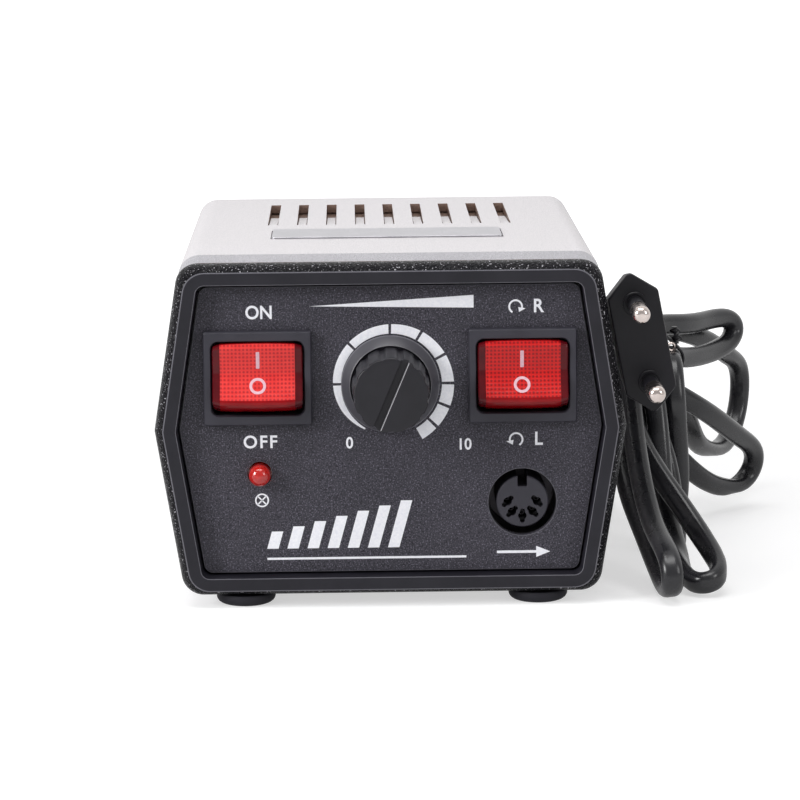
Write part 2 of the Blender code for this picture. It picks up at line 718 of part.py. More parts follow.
def turned(name, profile, surface, place, steps=ROUND_STEPS, loop=False):
    """Solid of revolution about the local Z axis, from (radius, height) pairs going up the outside.

    A pair with no radius closes the solid on the axis. A looped profile makes a tube.
    """
    shape = bmesh.new()
    rows = []
    for radius, height in profile:
        if radius == 0.0:
            rows.append([shape.verts.new((0.0, 0.0, height))])
            continue
        ring = [Vector((x, y, height)) for x, y in circle(radius, steps)]
        rows.append([shape.verts.new(point) for point in ring])
    pairs = list(zip(rows, rows[1:]))
    if loop:
        pairs.append((rows[-1], rows[0]))
    for row_a, row_b in pairs:
        for index in range(steps):
            after = (index + 1) % steps
            if len(row_a) == 1:
                shape.faces.new((row_a[0], row_b[after], row_b[index]))
            elif len(row_b) == 1:
                shape.faces.new((row_a[index], row_a[after], row_b[0]))
            else:
                shape.faces.new((row_a[index], row_a[after], row_b[after], row_b[index]))
    return add_object(name, shape, surface, place)


def facing(direction, position):
    """Placement that turns the local Z axis to a direction."""
    turn = Vector(direction).to_track_quat("Z", "Y")
    return Matrix.Translation(position) @ turn.to_matrix().to_4x4()


def facing_front(position):
    return facing((0.0, -1.0, 0.0), position)


def facing_rear(position):
    return facing((0.0, 1.0, 0.0), position)


def set_origin(thing, position):
    """Move an object's origin to a joint axis, with its mesh left where it is."""
    thing.data.transform(Matrix.Translation(-position))
    thing.matrix_world = Matrix.Translation(position)
    return thing


def make_front_bezel():
    """Moulded frame: a ring whose section runs round the flat rim, the rolled flange and the spigot."""
    flange = flange_corners()
    rim = rim_corners()
    recess = recess_corners()
    rings = []
    for step in range(ROLL_STEPS + 1):
        angle = ROLL_START + (math.pi / 2.0 - ROLL_START) * step / ROLL_STEPS
        share = (1.0 - math.sin(angle)) / (1.0 - math.sin(ROLL_START))
        sink = (math.cos(ROLL_START) - math.cos(angle)) / math.cos(ROLL_START)
        outline = hexagon(blend_corners(flange, rim, share), SHELL_CORNER, SHELL_KNEE)
        rings.append(ring_at(outline, FLANGE_DEPTH * sink))
    spigot_outer = inset_corners(shell_corners(), SHELL_WALL + GAP)
    spigot_inner = inset_corners(shell_corners(), SHELL_WALL + GAP + SPIGOT_WALL)
    ledge = inset_corners(recess, RECESS_DRAFT + LEDGE_WIDTH)
    ledge_front = PANEL_BACK_DEPTH + GAP
    ledge_back = ledge_front + LEDGE_THICKNESS
    spigot_back = ledge_back + SPIGOT_LENGTH
    inner_corner = SHELL_CORNER - SHELL_WALL
    rings.append(ring_at(hexagon(flange, SHELL_CORNER, SHELL_KNEE), FLANGE_BACK))
    rings.append(ring_at(hexagon(spigot_outer, inner_corner, SHELL_KNEE), FLANGE_BACK))
    rings.append(ring_at(hexagon(spigot_outer, inner_corner, SHELL_KNEE), spigot_back))
    rings.append(ring_at(hexagon(spigot_inner, RECESS_CORNER, SHELL_KNEE), spigot_back))
    rings.append(ring_at(hexagon(spigot_inner, RECESS_CORNER, SHELL_KNEE), ledge_back))
    rings.append(ring_at(hexagon(ledge, RECESS_CORNER, SHELL_KNEE), ledge_back))
    rings.append(ring_at(hexagon(ledge, RECESS_CORNER, SHELL_KNEE), ledge_front))
    deep = inset_corners(recess, RECESS_DRAFT)
    rings.append(ring_at(hexagon(deep, RECESS_CORNER, SHELL_KNEE), ledge_front))
    rings.append(ring_at(hexagon(recess, RECESS_CORNER, SHELL_KNEE), 0.0))
    bezel = loft("front_bezel", rings, black_plastic(), loop=True)
    room = FOOT_BARB_RADIUS + GAP
    for word, side in (("left", -1.0), ("right", 1.0)):
        low = (side * FOOT_SPREAD - room, y_at(FOOT_DEPTHS[0] - room), FLOOR - OVERRUN)
        high = (side * FOOT_SPREAD + room, y_at(spigot_back) + OVERRUN, FLOOR + GAP + FOOT_BARB_HEIGHT + GAP)
        cut(bezel, block("cut_foot_notch_" + word, low, high))
    return bezel


def switch_centres():
    return ((-SWITCH_SPREAD, SWITCH_RISE), (SWITCH_SPREAD, SWITCH_RISE))


def make_front_panel():
    """Plate on the bezel's ledge, cut out for every fitting that passes through it."""
    outline = hexagon(inset_corners(recess_corners(), RECESS_DRAFT + GAP), RECESS_CORNER, SHELL_KNEE)
    panel = prism("front_panel", outline, PANEL_FRONT_DEPTH, PANEL_BACK_DEPTH, panel_paint())
    front = PANEL_FRONT_DEPTH - OVERRUN
    back = PANEL_BACK_DEPTH + OVERRUN
    for side, centre in zip(("left", "right"), switch_centres()):
        width = SWITCH_BODY_WIDTH + 2.0 * GAP
        height = SWITCH_BODY_HEIGHT + 2.0 * GAP
        cut(panel, prism("cut_switch_" + side, rectangle(width, height, centre), front, back))
    holes = (
        ("cut_bushing", BUSHING_RADIUS + GAP, (0.0, KNOB_RISE), ROUND_STEPS),
        ("cut_lamp", LED_RADIUS + GAP, (-LED_SPREAD, LED_RISE), ROUND_STEPS),
        ("cut_socket", SOCKET_MOUTH_RADIUS, (SOCKET_SPREAD, SOCKET_RISE), FINE_STEPS),
    )
    for name, radius, centre, steps in holes:
        cut(panel, prism(name, circle(radius, steps, centre), front, back))
    return panel


def upper_path(corners, height, radius):
    """Open outline from the right flank at a height, over the top, to the left flank."""
    half = half_width_at(corners, height)
    points = [(half, height), corners[3], corners[4], (-half, height)]
    return fillet(points, (0.0, radius, radius, 0.0), CORNER_STEPS, closed=False)


def lower_path(corners, height, radius):
    """Open outline from the left flank at a height, under the floor, to the right flank."""
    half = half_width_at(corners, height)
    points = [(-half, height), corners[0], corners[1], (half, height)]
    return fillet(points, (0.0, radius, radius, 0.0), CORNER_STEPS, closed=False)


def slot_cutters(name, count, front, length, low, high):
    """Row of slots that run front to back, as one cutter."""
    tools = []
    for index in range(count):
        shift = (index - (count - 1) / 2.0) * SLOT_PITCH
        low_corner = (shift - SLOT_WIDTH / 2.0, y_at(front), low)
        high_corner = (shift + SLOT_WIDTH / 2.0, y_at(front + length), high)
        tools.append(block("{}_{}".format(name, index), low_corner, high_corner))
    return tools


def flank_frame(side, depth):
    """Placement on the outside of the cover's flank with the local Z axis pointing outwards."""
    corners = shell_corners()
    height = SPLIT + CASE_SCREW_RISE
    half = half_width_at(corners, height)
    along = (corners[3] - corners[2]).normalized()
    outward = Vector((side * along.y, 0.0, -along.x))
    return facing(outward, Vector((side * half, y_at(depth), height)))


def screw_places():
    """Name, side and depth of each screw in the flanks."""
    places = []
    for word, side in (("left", -1.0), ("right", 1.0)):
        for end, depth in zip(("front", "rear"), CASE_SCREW_DEPTHS):
            places.append(("{}_{}".format(end, word), side, depth))
    return places


def screw_hole(name, side, depth):
    """Clearance hole through the cover and the rib behind it, countersunk at the outside."""
    radius = CASE_SCREW_SHANK + GAP
    mouth = CASE_SCREW_HEAD + GAP
    profile = (
        (0.0, -CASE_SCREW_LENGTH - OVERRUN),
        (radius, -CASE_SCREW_LENGTH - OVERRUN),
        (radius, -CASE_SCREW_HEAD_HEIGHT - GAP),
        (mouth, 0.0),
        (mouth, OVERRUN),
        (0.0, OVERRUN),
    )
    return turned(name, profile, None, flank_frame(side, depth), MEDIUM_STEPS)


def cross_recess(screw, place, top, width, depth, length):
    """Cut a cross in the head of a screw."""
    for word, turn in (("a", 0.0), ("b", math.pi / 2.0)):
        rings = []
        for y in (-length / 2.0, length / 2.0):
            rings.append([Vector((-width / 2.0, y, top - depth)), Vector((width / 2.0, y, top - depth)),
                          Vector((width / 2.0, y, top + OVERRUN)), Vector((-width / 2.0, y, top + OVERRUN))])
        turned_place = place @ Matrix.Rotation(turn, 4, "Z")
        cut(screw, loft("cut_{}_{}".format(screw.name, word), rings, None, place=turned_place))


def make_top_cover():
    """Upper shell: an arch with a sloped front lip, nine slots and a seat for the plate."""
    shell = shell_corners()
    edge = SPLIT + GAP / 2.0
    inner = upper_path(inset_corners(shell, SHELL_WALL), edge, SHELL_CORNER - SHELL_WALL)
    lip = [corner.copy() for corner in shell]
    for index in (3, 4):
        lip[index].y -= COVER_LIP_DROP
    rear = inset_corners(shell, COVER_REAR_ROUND)
    front_depth = FLANGE_BACK + GAP
    sections = (
        (lip, front_depth),
        (shell, front_depth + COVER_LIP_LENGTH),
        (shell, CASE_DEPTH - COVER_REAR_ROUND),
        (rear, CASE_DEPTH),
    )
    rings = []
    for corners, depth in sections:
        outer = upper_path(corners, edge, SHELL_CORNER)
        rings.append(ring_at(outer + list(reversed(inner)), depth))
    cover = loft("top_cover", rings, silver_paint())
    low = SHELL_TOP - SHELL_WALL - OVERRUN
    for tool in slot_cutters("cut_slot", SLOT_COUNT, SLOT_FRONT, SLOT_LENGTH, low, SHELL_TOP + OVERRUN):
        cut(cover, tool)
    half = PLATE_WIDTH / 2.0 + GAP
    seat_low = (-half, y_at(PLATE_FRONT - GAP), SHELL_TOP - PLATE_SEAT)
    seat_high = (half, y_at(PLATE_FRONT + PLATE_DEPTH + GAP), SHELL_TOP + OVERRUN)
    cut(cover, block("cut_plate_seat", seat_low, seat_high))
    for name, side, depth in screw_places():
        cut(cover, screw_hole("cut_cover_screw_" + name, side, depth))
    return cover


def make_top_plate():
    """Bare plate in its seat in front of the slots."""
    low = SHELL_TOP - PLATE_SEAT + GAP
    half = PLATE_WIDTH / 2.0
    low_corner = (-half, y_at(PLATE_FRONT), low)
    high_corner = (half, y_at(PLATE_FRONT + PLATE_DEPTH), low + PLATE_THICKNESS)
    return block("top_plate", low_corner, high_corner, brushed_metal())


def foot_places():
    """Name and centre of each foot."""
    places = []
    for end, depth in zip(("front", "rear"), FOOT_DEPTHS):
        for word, side in (("left", -1.0), ("right", 1.0)):
            places.append(("{}_{}".format(end, word), side * FOOT_SPREAD, depth))
    return places


def strap_screw_shift():
    """Distance of the strap's screws from the middle."""
    return CORE_WIDTH / 2.0 + GAP + STRAP_THICKNESS + STRAP_FOOT / 2.0


def board_corner_places():
    """Centres of the four standoffs."""
    half = BOARD_WIDTH / 2.0 - BOARD_CORNER_INSET
    front = BOARD_FRONT + BOARD_CORNER_INSET
    back = BOARD_FRONT + BOARD_DEPTH - BOARD_CORNER_INSET
    return ((-half, front), (half, front), (-half, back), (half, back))


def make_tray_rib(side):
    """Rib along one side of the tray, behind the lower edge of the cover."""
    shell = shell_corners()
    outer = inset_corners(shell, SHELL_WALL + GAP)
    inner = inset_corners(shell, SHELL_WALL + GAP + RIB_WALL)
    wall = inset_corners(shell, SHELL_WALL / 2.0)
    top = SPLIT + RIB_RISE
    shoulder = SPLIT - GAP / 2.0
    foot = SPLIT - RIB_DROP
    outline = [
        (half_width_at(outer, top), top),
        (half_width_at(outer, shoulder), shoulder),
        (half_width_at(wall, shoulder - SHELL_WALL), shoulder - SHELL_WALL),
        (half_width_at(wall, foot - RIB_WALL), foot - RIB_WALL),
        (half_width_at(inner, foot), foot),
        (half_width_at(inner, SPLIT), SPLIT),
        (half_width_at(inner, top), top),
    ]
    placed = [(side * x, z) for x, z in outline]
    spigot_back = PANEL_BACK_DEPTH + GAP + LEDGE_THICKNESS + SPIGOT_LENGTH
    front = spigot_back + RIB_END_CLEARANCE
    back = REAR_INNER_DEPTH - SPIGOT_LENGTH - RIB_END_CLEARANCE
    return prism("join_rib_{}".format("left" if side < 0.0 else "right"), placed, front, back)


def make_base_tray():
    """Lower shell: a trough with ribs, bosses, slots and the holes for feet and screws."""
    shell = shell_corners()
    edge = SPLIT - GAP / 2.0
    inner = lower_path(inset_corners(shell, SHELL_WALL), edge, SHELL_CORNER - SHELL_WALL)
    rear = inset_corners(shell, COVER_REAR_ROUND)
    front_depth = FLANGE_BACK + GAP
    rings = []
    for corners, depth in ((shell, front_depth), (shell, CASE_DEPTH - COVER_REAR_ROUND), (rear, CASE_DEPTH)):
        outer = lower_path(corners, edge, SHELL_CORNER)
        rings.append(ring_at(outer + list(reversed(inner)), depth))
    tray = loft("base_tray", rings, silver_paint())
    for side in (-1.0, 1.0):
        fuse(tray, make_tray_rib(side))
    middle = CORE_FRONT + CORE_STACK / 2.0
    boss_top = FLOOR + CORE_LIFT
    for word, side in (("left", -1.0), ("right", 1.0)):
        centre = Vector((side * strap_screw_shift(), y_at(middle), FLOOR))
        profile = ((0.0, -SHELL_WALL / 2.0), (STRAP_BOSS_RADIUS, -SHELL_WALL / 2.0),
                   (STRAP_BOSS_RADIUS, CORE_LIFT), (0.0, CORE_LIFT))
        fuse(tray, turned("join_boss_" + word, profile, None, Matrix.Translation(centre)))
        hole = STRAP_SCREW_RADIUS + GAP
        bottom = SHELL_BOTTOM - OVERRUN - FLOOR
        top = CORE_LIFT + OVERRUN
        hole_profile = ((0.0, bottom), (hole, bottom), (hole, top), (0.0, top))
        cut(tray, turned("cut_boss_" + word, hole_profile, None, Matrix.Translation(centre), SMALL_STEPS))
    for name, shift, depth in foot_places():
        centre = Vector((shift, y_at(depth), 0.0))
        hole = FOOT_STEM_RADIUS + GAP
        profile = ((0.0, SHELL_BOTTOM - OVERRUN), (hole, SHELL_BOTTOM - OVERRUN),
                   (hole, boss_top), (0.0, boss_top))
        cut(tray, turned("cut_foot_" + name, profile, None, Matrix.Translation(centre), SMALL_STEPS))
    for index, (shift, depth) in enumerate(board_corner_places()):
        centre = Vector((shift, y_at(depth), 0.0))
        hole = STANDOFF_PIN_RADIUS + GAP
        profile = ((0.0, SHELL_BOTTOM - OVERRUN), (hole, SHELL_BOTTOM - OVERRUN),
                   (hole, boss_top), (0.0, boss_top))
        cut(tray, turned("cut_standoff_{}".format(index), profile, None,
                         Matrix.Translation(centre), SMALL_STEPS))
    slots = slot_cutters("cut_floor_slot", FLOOR_SLOT_COUNT, FLOOR_SLOT_FRONT, FLOOR_SLOT_LENGTH,
                         SHELL_BOTTOM - OVERRUN, boss_top)
    for tool in slots:
        cut(tray, tool)
    for name, side, depth in screw_places():
        cut(tray, screw_hole("cut_tray_screw_" + name, side, depth))
    return tray


def make_rear_panel():
    """Dished panel inside the rear of the shells, cut out for its fittings."""
    outer = hexagon(inset_corners(shell_corners(), SHELL_WALL + GAP), SHELL_CORNER - SHELL_WALL, SHELL_KNEE)
    inner_corners = inset_corners(shell_corners(), SHELL_WALL + GAP + SPIGOT_WALL)
    inner = hexagon(inner_corners, RECESS_CORNER, SHELL_KNEE)
    skirt = REAR_INNER_DEPTH - SPIGOT_LENGTH
    rings = [
        ring_at(inner, REAR_INNER_DEPTH),
        ring_at(inner, skirt),
        ring_at(outer, skirt),
        ring_at(outer, REAR_OUTER_DEPTH),
    ]
    panel = loft("rear_panel", rings, black_plastic())
    front = REAR_INNER_DEPTH - OVERRUN
    back = REAR_OUTER_DEPTH + OVERRUN
    holes = (
        ("cut_fuse", FUSE_BODY_RADIUS + GAP, (-FUSE_SPREAD, FUSE_RISE)),
        ("cut_pedal", PEDAL_BUSHING_RADIUS + GAP, (-PEDAL_SPREAD, PEDAL_RISE)),
        ("cut_relief", RELIEF_NECK_RADIUS + GAP, (CORD_SPREAD, CORD_RISE)),
    )
    for name, radius, centre in holes:
        cut(panel, prism(name, circle(radius, ROUND_STEPS, centre), front, back))
    width = SELECTOR_BODY_WIDTH + 2.0 * GAP
    height = SELECTOR_BODY_HEIGHT + 2.0 * GAP
    cut(panel, prism("cut_selector", rectangle(width, height, (0.0, SELECTOR_RISE)), front, back))
    for index in range(REAR_SLOT_COUNT):
        shift = (index - (REAR_SLOT_COUNT - 1) / 2.0) * REAR_SLOT_PITCH
        outline = rounded_rectangle(REAR_SLOT_WIDTH, REAR_SLOT_HEIGHT, REAR_SLOT_CORNER,
                                    (shift, REAR_SLOT_RISE))
        cut(panel, prism("cut_rear_slot_{}".format(index), outline, front, back))
    return panel


def make_feet():
    """Rubber feet with a barbed stem that snaps through the floor of the tray."""
    floor_top = FLOOR + GAP
    for name, shift, depth in foot_places():
        profile = (
            (0.0, FOOT_RECESS_DEPTH),
            (FOOT_RECESS_RADIUS, FOOT_RECESS_DEPTH),
            (FOOT_RECESS_RADIUS, 0.0),
            (FOOT_TREAD_RADIUS, 0.0),
            ((FOOT_TREAD_RADIUS + FOOT_RADIUS) / 2.0, FOOT_HEIGHT * FOOT_SOLE_SHARE),
            (FOOT_RADIUS, FOOT_HEIGHT * FOOT_BULGE_SHARE),
            (FOOT_RADIUS, FOOT_HEIGHT - GAP),
            (FOOT_STEM_RADIUS, FOOT_HEIGHT - GAP),
            (FOOT_STEM_RADIUS, floor_top),
            (FOOT_BARB_RADIUS, floor_top),
            (FOOT_STEM_RADIUS, floor_top + FOOT_BARB_HEIGHT),
            (0.0, floor_top + FOOT_BARB_HEIGHT),
        )
        centre = Vector((shift, y_at(depth), 0.0))
        turned("foot_" + name, profile, black_rubber(), Matrix.Translation(centre), MEDIUM_STEPS)


def make_case_screws():
    """Countersunk screws through the flanks of the cover into the ribs."""
    for name, side, depth in screw_places():
        profile = (
            (0.0, -CASE_SCREW_LENGTH),
            (CASE_SCREW_SHANK / 2.0, -CASE_SCREW_LENGTH),
            (CASE_SCREW_SHANK, -CASE_SCREW_LENGTH + CASE_SCREW_SHANK),
            (CASE_SCREW_SHANK, -CASE_SCREW_HEAD_HEIGHT),
            (CASE_SCREW_HEAD, 0.0),
            (0.0, 0.0),
        )
        place = flank_frame(side, depth)
        screw = turned("case_screw_" + name, profile, steel(), place, MEDIUM_STEPS)
        cross_recess(screw, place, 0.0, CASE_SCREW_RECESS_WIDTH, CASE_SCREW_RECESS_DEPTH, CASE_SCREW_HEAD)


def make_switch_body(name, centre):
    """Snap-in switch housing: frame on the panel, hollow for the rocker, four solder tabs."""
    frame_front = PANEL_FRONT_DEPTH - GAP - SWITCH_FRAME_THICKNESS
    frame_back = PANEL_FRONT_DEPTH - GAP
    outline = rounded_rectangle(SWITCH_FRAME_WIDTH, SWITCH_FRAME_HEIGHT, SWITCH_FRAME_ROUND, centre)
    trim = SWITCH_FRAME_ROUND
    slim = rounded_rectangle(SWITCH_FRAME_WIDTH - trim, SWITCH_FRAME_HEIGHT - trim, trim, centre)
    body = rounded_rectangle(SWITCH_BODY_WIDTH, SWITCH_BODY_HEIGHT, SWITCH_FRAME_ROUND, centre)
    rings = [
        ring_at(slim, frame_front),
        ring_at(outline, frame_front + SWITCH_FRAME_ROUND / 2.0),
        ring_at(outline, frame_back),
        ring_at(body, frame_back),
        ring_at(body, frame_front + SWITCH_BODY_DEPTH),
    ]
    housing = loft(name, rings, black_plastic())
    well = rounded_rectangle(SWITCH_OPENING_WIDTH, SWITCH_OPENING_HEIGHT, SWITCH_OPENING_CORNER, centre)
    cut(housing, prism("cut_well_" + name, well, frame_front - OVERRUN, frame_front + SWITCH_WELL_DEPTH))
    pivot = Vector((centre[0], y_at(frame_front + ROCKER_PIVOT_DEPTH), centre[1]))
    reach = SWITCH_OPENING_WIDTH / 2.0 + ROCKER_PIVOT_LENGTH
    radius = ROCKER_PIVOT_RADIUS + RUNNING_GAP
    profile = ((0.0, -reach), (radius, -reach), (radius, reach), (0.0, reach))
    cut(housing, turned("cut_pivot_" + name, profile, None, facing((1.0, 0.0, 0.0), pivot), SMALL_STEPS))
    back = frame_front + SWITCH_BODY_DEPTH
    for column in (-1.0, 1.0):
        for row in (-1.0, 1.0):
            x = centre[0] + column * SWITCH_TAB_SPREAD
            z = centre[1] + row * SWITCH_TAB_SPREAD
            half_w = SWITCH_TAB_WIDTH / 2.0
            half_t = SWITCH_TAB_THICKNESS / 2.0
            low = (x - half_w, y_at(back) - OVERRUN, z - half_t)
            high = (x + half_w, y_at(back + SWITCH_TAB_LENGTH), z + half_t)
            fuse(housing, block("join_tab_{}_{}_{}".format(name, column, row), low, high))
    return housing


def rocker_profile():
    """Side view of the rocker, level: (reach in front of the pivot, height), a shallow V between edges."""
    half = SWITCH_OPENING_HEIGHT / 2.0 - RUNNING_GAP
    points = [
        (ROCKER_FACE_REACH, 0.0),
        (ROCKER_EDGE_REACH, ROCKER_EDGE_HALF),
        (ROCKER_EDGE_REACH - ROCKER_SIDE_ROUND, ROCKER_EDGE_HALF + ROCKER_SIDE_ROUND / 2.0),
    ]
    end = math.asin(-ROCKER_SKIRT_DEPTH / half)
    for step in range(DOME_STEPS + 1):
        angle = ROCKER_BARREL_START + (end - ROCKER_BARREL_START) * step / DOME_STEPS
        points.append((half * math.sin(angle), half * math.cos(angle)))
    return points


def make_rocker(name, centre):
    """Rocker with a V face and round ends about its pivot, at rest with its upper side pressed in."""
    upper = rocker_profile()
    lower = [(reach, -height) for reach, height in reversed(upper[1:])]
    profile = upper + lower
    width = SWITCH_OPENING_WIDTH - 2.0 * RUNNING_GAP
    frame_front = PANEL_FRONT_DEPTH - GAP - SWITCH_FRAME_THICKNESS
    pivot = Vector((centre[0], y_at(frame_front + ROCKER_PIVOT_DEPTH), centre[1]))
    rings = []
    for share, side in ROCKER_SECTION_SHARES:
        rings.append([Vector((side * width, -reach * share, height * share)) for reach, height in profile])
    place = Matrix.Translation(pivot) @ Matrix.Rotation(-ROCKER_TILT, 4, "X")
    rocker = loft(name, rings, red_lens(), place=place)
    reach = width / 2.0 + ROCKER_PIVOT_LENGTH - RUNNING_GAP
    axle = ((0.0, -reach), (ROCKER_PIVOT_RADIUS, -reach), (ROCKER_PIVOT_RADIUS, reach), (0.0, reach))
    fuse(rocker, turned("join_axle_" + name, axle, None, facing((1.0, 0.0, 0.0), pivot), SMALL_STEPS))
    return rocker


def knob_ring(radius, height, flute_share):
    """Ring of the grip: flat ribs with scalloped flutes between them."""
    per_flute = len(KNOB_FLUTE_SHARES)
    points = []
    for step in range(KNOB_FLUTES * per_flute):
        angle = math.tau * (step - 0.5) / (KNOB_FLUTES * per_flute)
        depth = KNOB_FLUTE_DEPTH * KNOB_FLUTE_SHARES[step % per_flute] * flute_share
        reach = radius - depth
        points.append(Vector((reach * math.sin(angle), reach * math.cos(angle), height)))
    return points


def make_speed_knob():
    """Skirted knob with a fluted grip, a groove across its face and a hollow back."""
    tip_radius = KNOB_FACE_RADIUS + KNOB_FACE_ROUND / 2.0
    rings = [
        knob_ring(KNOB_SKIRT_RADIUS, 0.0, 0.0),
        knob_ring(KNOB_SKIRT_RADIUS, KNOB_SKIRT_EDGE, 0.0),
        knob_ring(KNOB_SHOULDER_RADIUS, KNOB_SHOULDER_HEIGHT, 0.0),
        knob_ring(KNOB_GRIP_RADIUS, KNOB_SHOULDER_HEIGHT, 1.0),
        knob_ring(tip_radius, KNOB_HEIGHT - KNOB_FACE_ROUND, KNOB_TIP_FLUTE_SHARE),
        knob_ring(KNOB_FACE_RADIUS, KNOB_HEIGHT, 0.0),
    ]
    base = y_at(PANEL_FRONT_DEPTH - GAP - RUNNING_GAP)
    centre = Vector((0.0, base, KNOB_RISE))
    place = facing_front(centre) @ Matrix.Rotation(-KNOB_REST_TURN, 4, "Z")
    knob = loft("speed_knob", rings, black_plastic(), place=place)
    groove_half = KNOB_GROOVE_WIDTH / 2.0
    long_half = KNOB_SKIRT_RADIUS
    low = KNOB_HEIGHT - KNOB_GROOVE_DEPTH
    rings = []
    for y in (-long_half, long_half):
        rings.append([Vector((-groove_half, y, low)), Vector((groove_half, y, low)),
                      Vector((groove_half, y, KNOB_HEIGHT + OVERRUN)),
                      Vector((-groove_half, y, KNOB_HEIGHT + OVERRUN))])
    cut(knob, loft("cut_groove", rings, None, place=place))
    bore = SHAFT_RADIUS + GAP
    cavity = (
        (0.0, -OVERRUN),
        (KNOB_CAVITY_RADIUS, -OVERRUN),
        (KNOB_CAVITY_RADIUS, KNOB_CAVITY_DEPTH),
        (bore, KNOB_CAVITY_DEPTH),
        (bore, KNOB_BORE_DEPTH),
        (0.0, KNOB_BORE_DEPTH),
    )
    cut(knob, turned("cut_knob_cavity", cavity, None, facing_front(centre)))
    return knob


def make_potentiometer():
    """Body behind the panel, threaded bushing through it, nut in front, shaft in the knob."""
    back = PANEL_BACK_DEPTH + GAP
    seat = Vector((0.0, y_at(back), KNOB_RISE))
    bushing_tip = GAP + BUSHING_LENGTH
    tunnel = SHAFT_RADIUS + GAP
    profile = (
        (tunnel, -POT_DEPTH / 2.0),
        (tunnel, bushing_tip),
        (BUSHING_RADIUS, bushing_tip),
        (BUSHING_RADIUS, 0.0),
        (POT_RADIUS, 0.0),
        (POT_RADIUS, -POT_DEPTH),
        (0.0, -POT_DEPTH),
    )
    solid = ((0.0, -POT_DEPTH / 2.0),) + profile
    body = turned("speed_potentiometer", solid, steel(), facing_front(seat))
    half = POT_TAB_WIDTH / 2.0
    bottom = KNOB_RISE - POT_RADIUS - POT_TAB_DROP
    low = (-half, y_at(back + POT_DEPTH / 2.0), bottom)
    high = (half, y_at(back + POT_DEPTH / 2.0 + POT_TAB_THICKNESS), KNOB_RISE - POT_RADIUS / 2.0)
    fuse(body, block("join_pot_tab", low, high))
    nut_seat = Vector((0.0, y_at(PANEL_FRONT_DEPTH - GAP), KNOB_RISE))
    outer = NUT_ACROSS_FLATS / math.sqrt(3.0)
    nut_bore = BUSHING_RADIUS + GAP
    nut = prism_nut("potentiometer_nut", outer, nut_bore, NUT_THICKNESS, facing_front(nut_seat), nickel())
    shaft_start = -POT_DEPTH / 2.0 + GAP
    shaft_end = PANEL_THICKNESS + GAP + GAP + RUNNING_GAP + KNOB_BORE_DEPTH - GAP
    shaft = ((0.0, shaft_start), (SHAFT_RADIUS, shaft_start), (SHAFT_RADIUS, shaft_end), (0.0, shaft_end))
    turned("potentiometer_shaft", shaft, nickel(), facing_front(seat), ROUND_STEPS)
    return nut


def prism_nut(name, outer, bore, thickness, place, surface):
    """Six-sided nut with a round bore."""
    shape = [Vector((x, y, 0.0)) for x, y in circle(outer, 6)]
    rings = [shape, [point + Vector((0.0, 0.0, thickness)) for point in shape]]
    nut = loft(name, rings, surface, place=place)
    profile = ((0.0, -OVERRUN), (bore, -OVERRUN), (bore, thickness + OVERRUN), (0.0, thickness + OVERRUN))
    cut(nut, turned("cut_" + name, profile, None, place, ROUND_STEPS))
    return nut


def make_lamp():
    """Domed lamp through the panel, with its collar and two tails behind."""
    front = PANEL_FRONT_DEPTH - LED_PROUD
    centre = Vector((-LED_SPREAD, y_at(PANEL_BACK_DEPTH + GAP), LED_RISE))
    tip = PANEL_BACK_DEPTH + GAP - front
    profile = [
        (0.0, -LED_COLLAR_THICKNESS),
        (LED_COLLAR_RADIUS, -LED_COLLAR_THICKNESS),
        (LED_COLLAR_RADIUS, 0.0),
        (LED_RADIUS, 0.0),
    ]
    for step in range(DOME_STEPS):
        angle = math.pi / 2.0 * step / DOME_STEPS
        profile.append((LED_RADIUS * math.cos(angle), tip - LED_RADIUS + LED_RADIUS * math.sin(angle)))
    profile.append((0.0, tip))
    lamp = turned("pilot_lamp", profile, red_lens(), facing_front(centre))
    back = PANEL_BACK_DEPTH + GAP + LED_COLLAR_THICKNESS
    for word, side in (("a", -1.0), ("b", 1.0)):
        x = -LED_SPREAD + side * LED_TAIL_SPREAD
        half = LED_TAIL_WIDTH / 2.0
        low = (x - half, y_at(back) - LED_COLLAR_THICKNESS / 2.0, LED_RISE - half)
        high = (x + half, y_at(back + LED_TAIL_LENGTH), LED_RISE + half)
        fuse(lamp, block("join_lamp_tail_" + word, low, high))
    return lamp


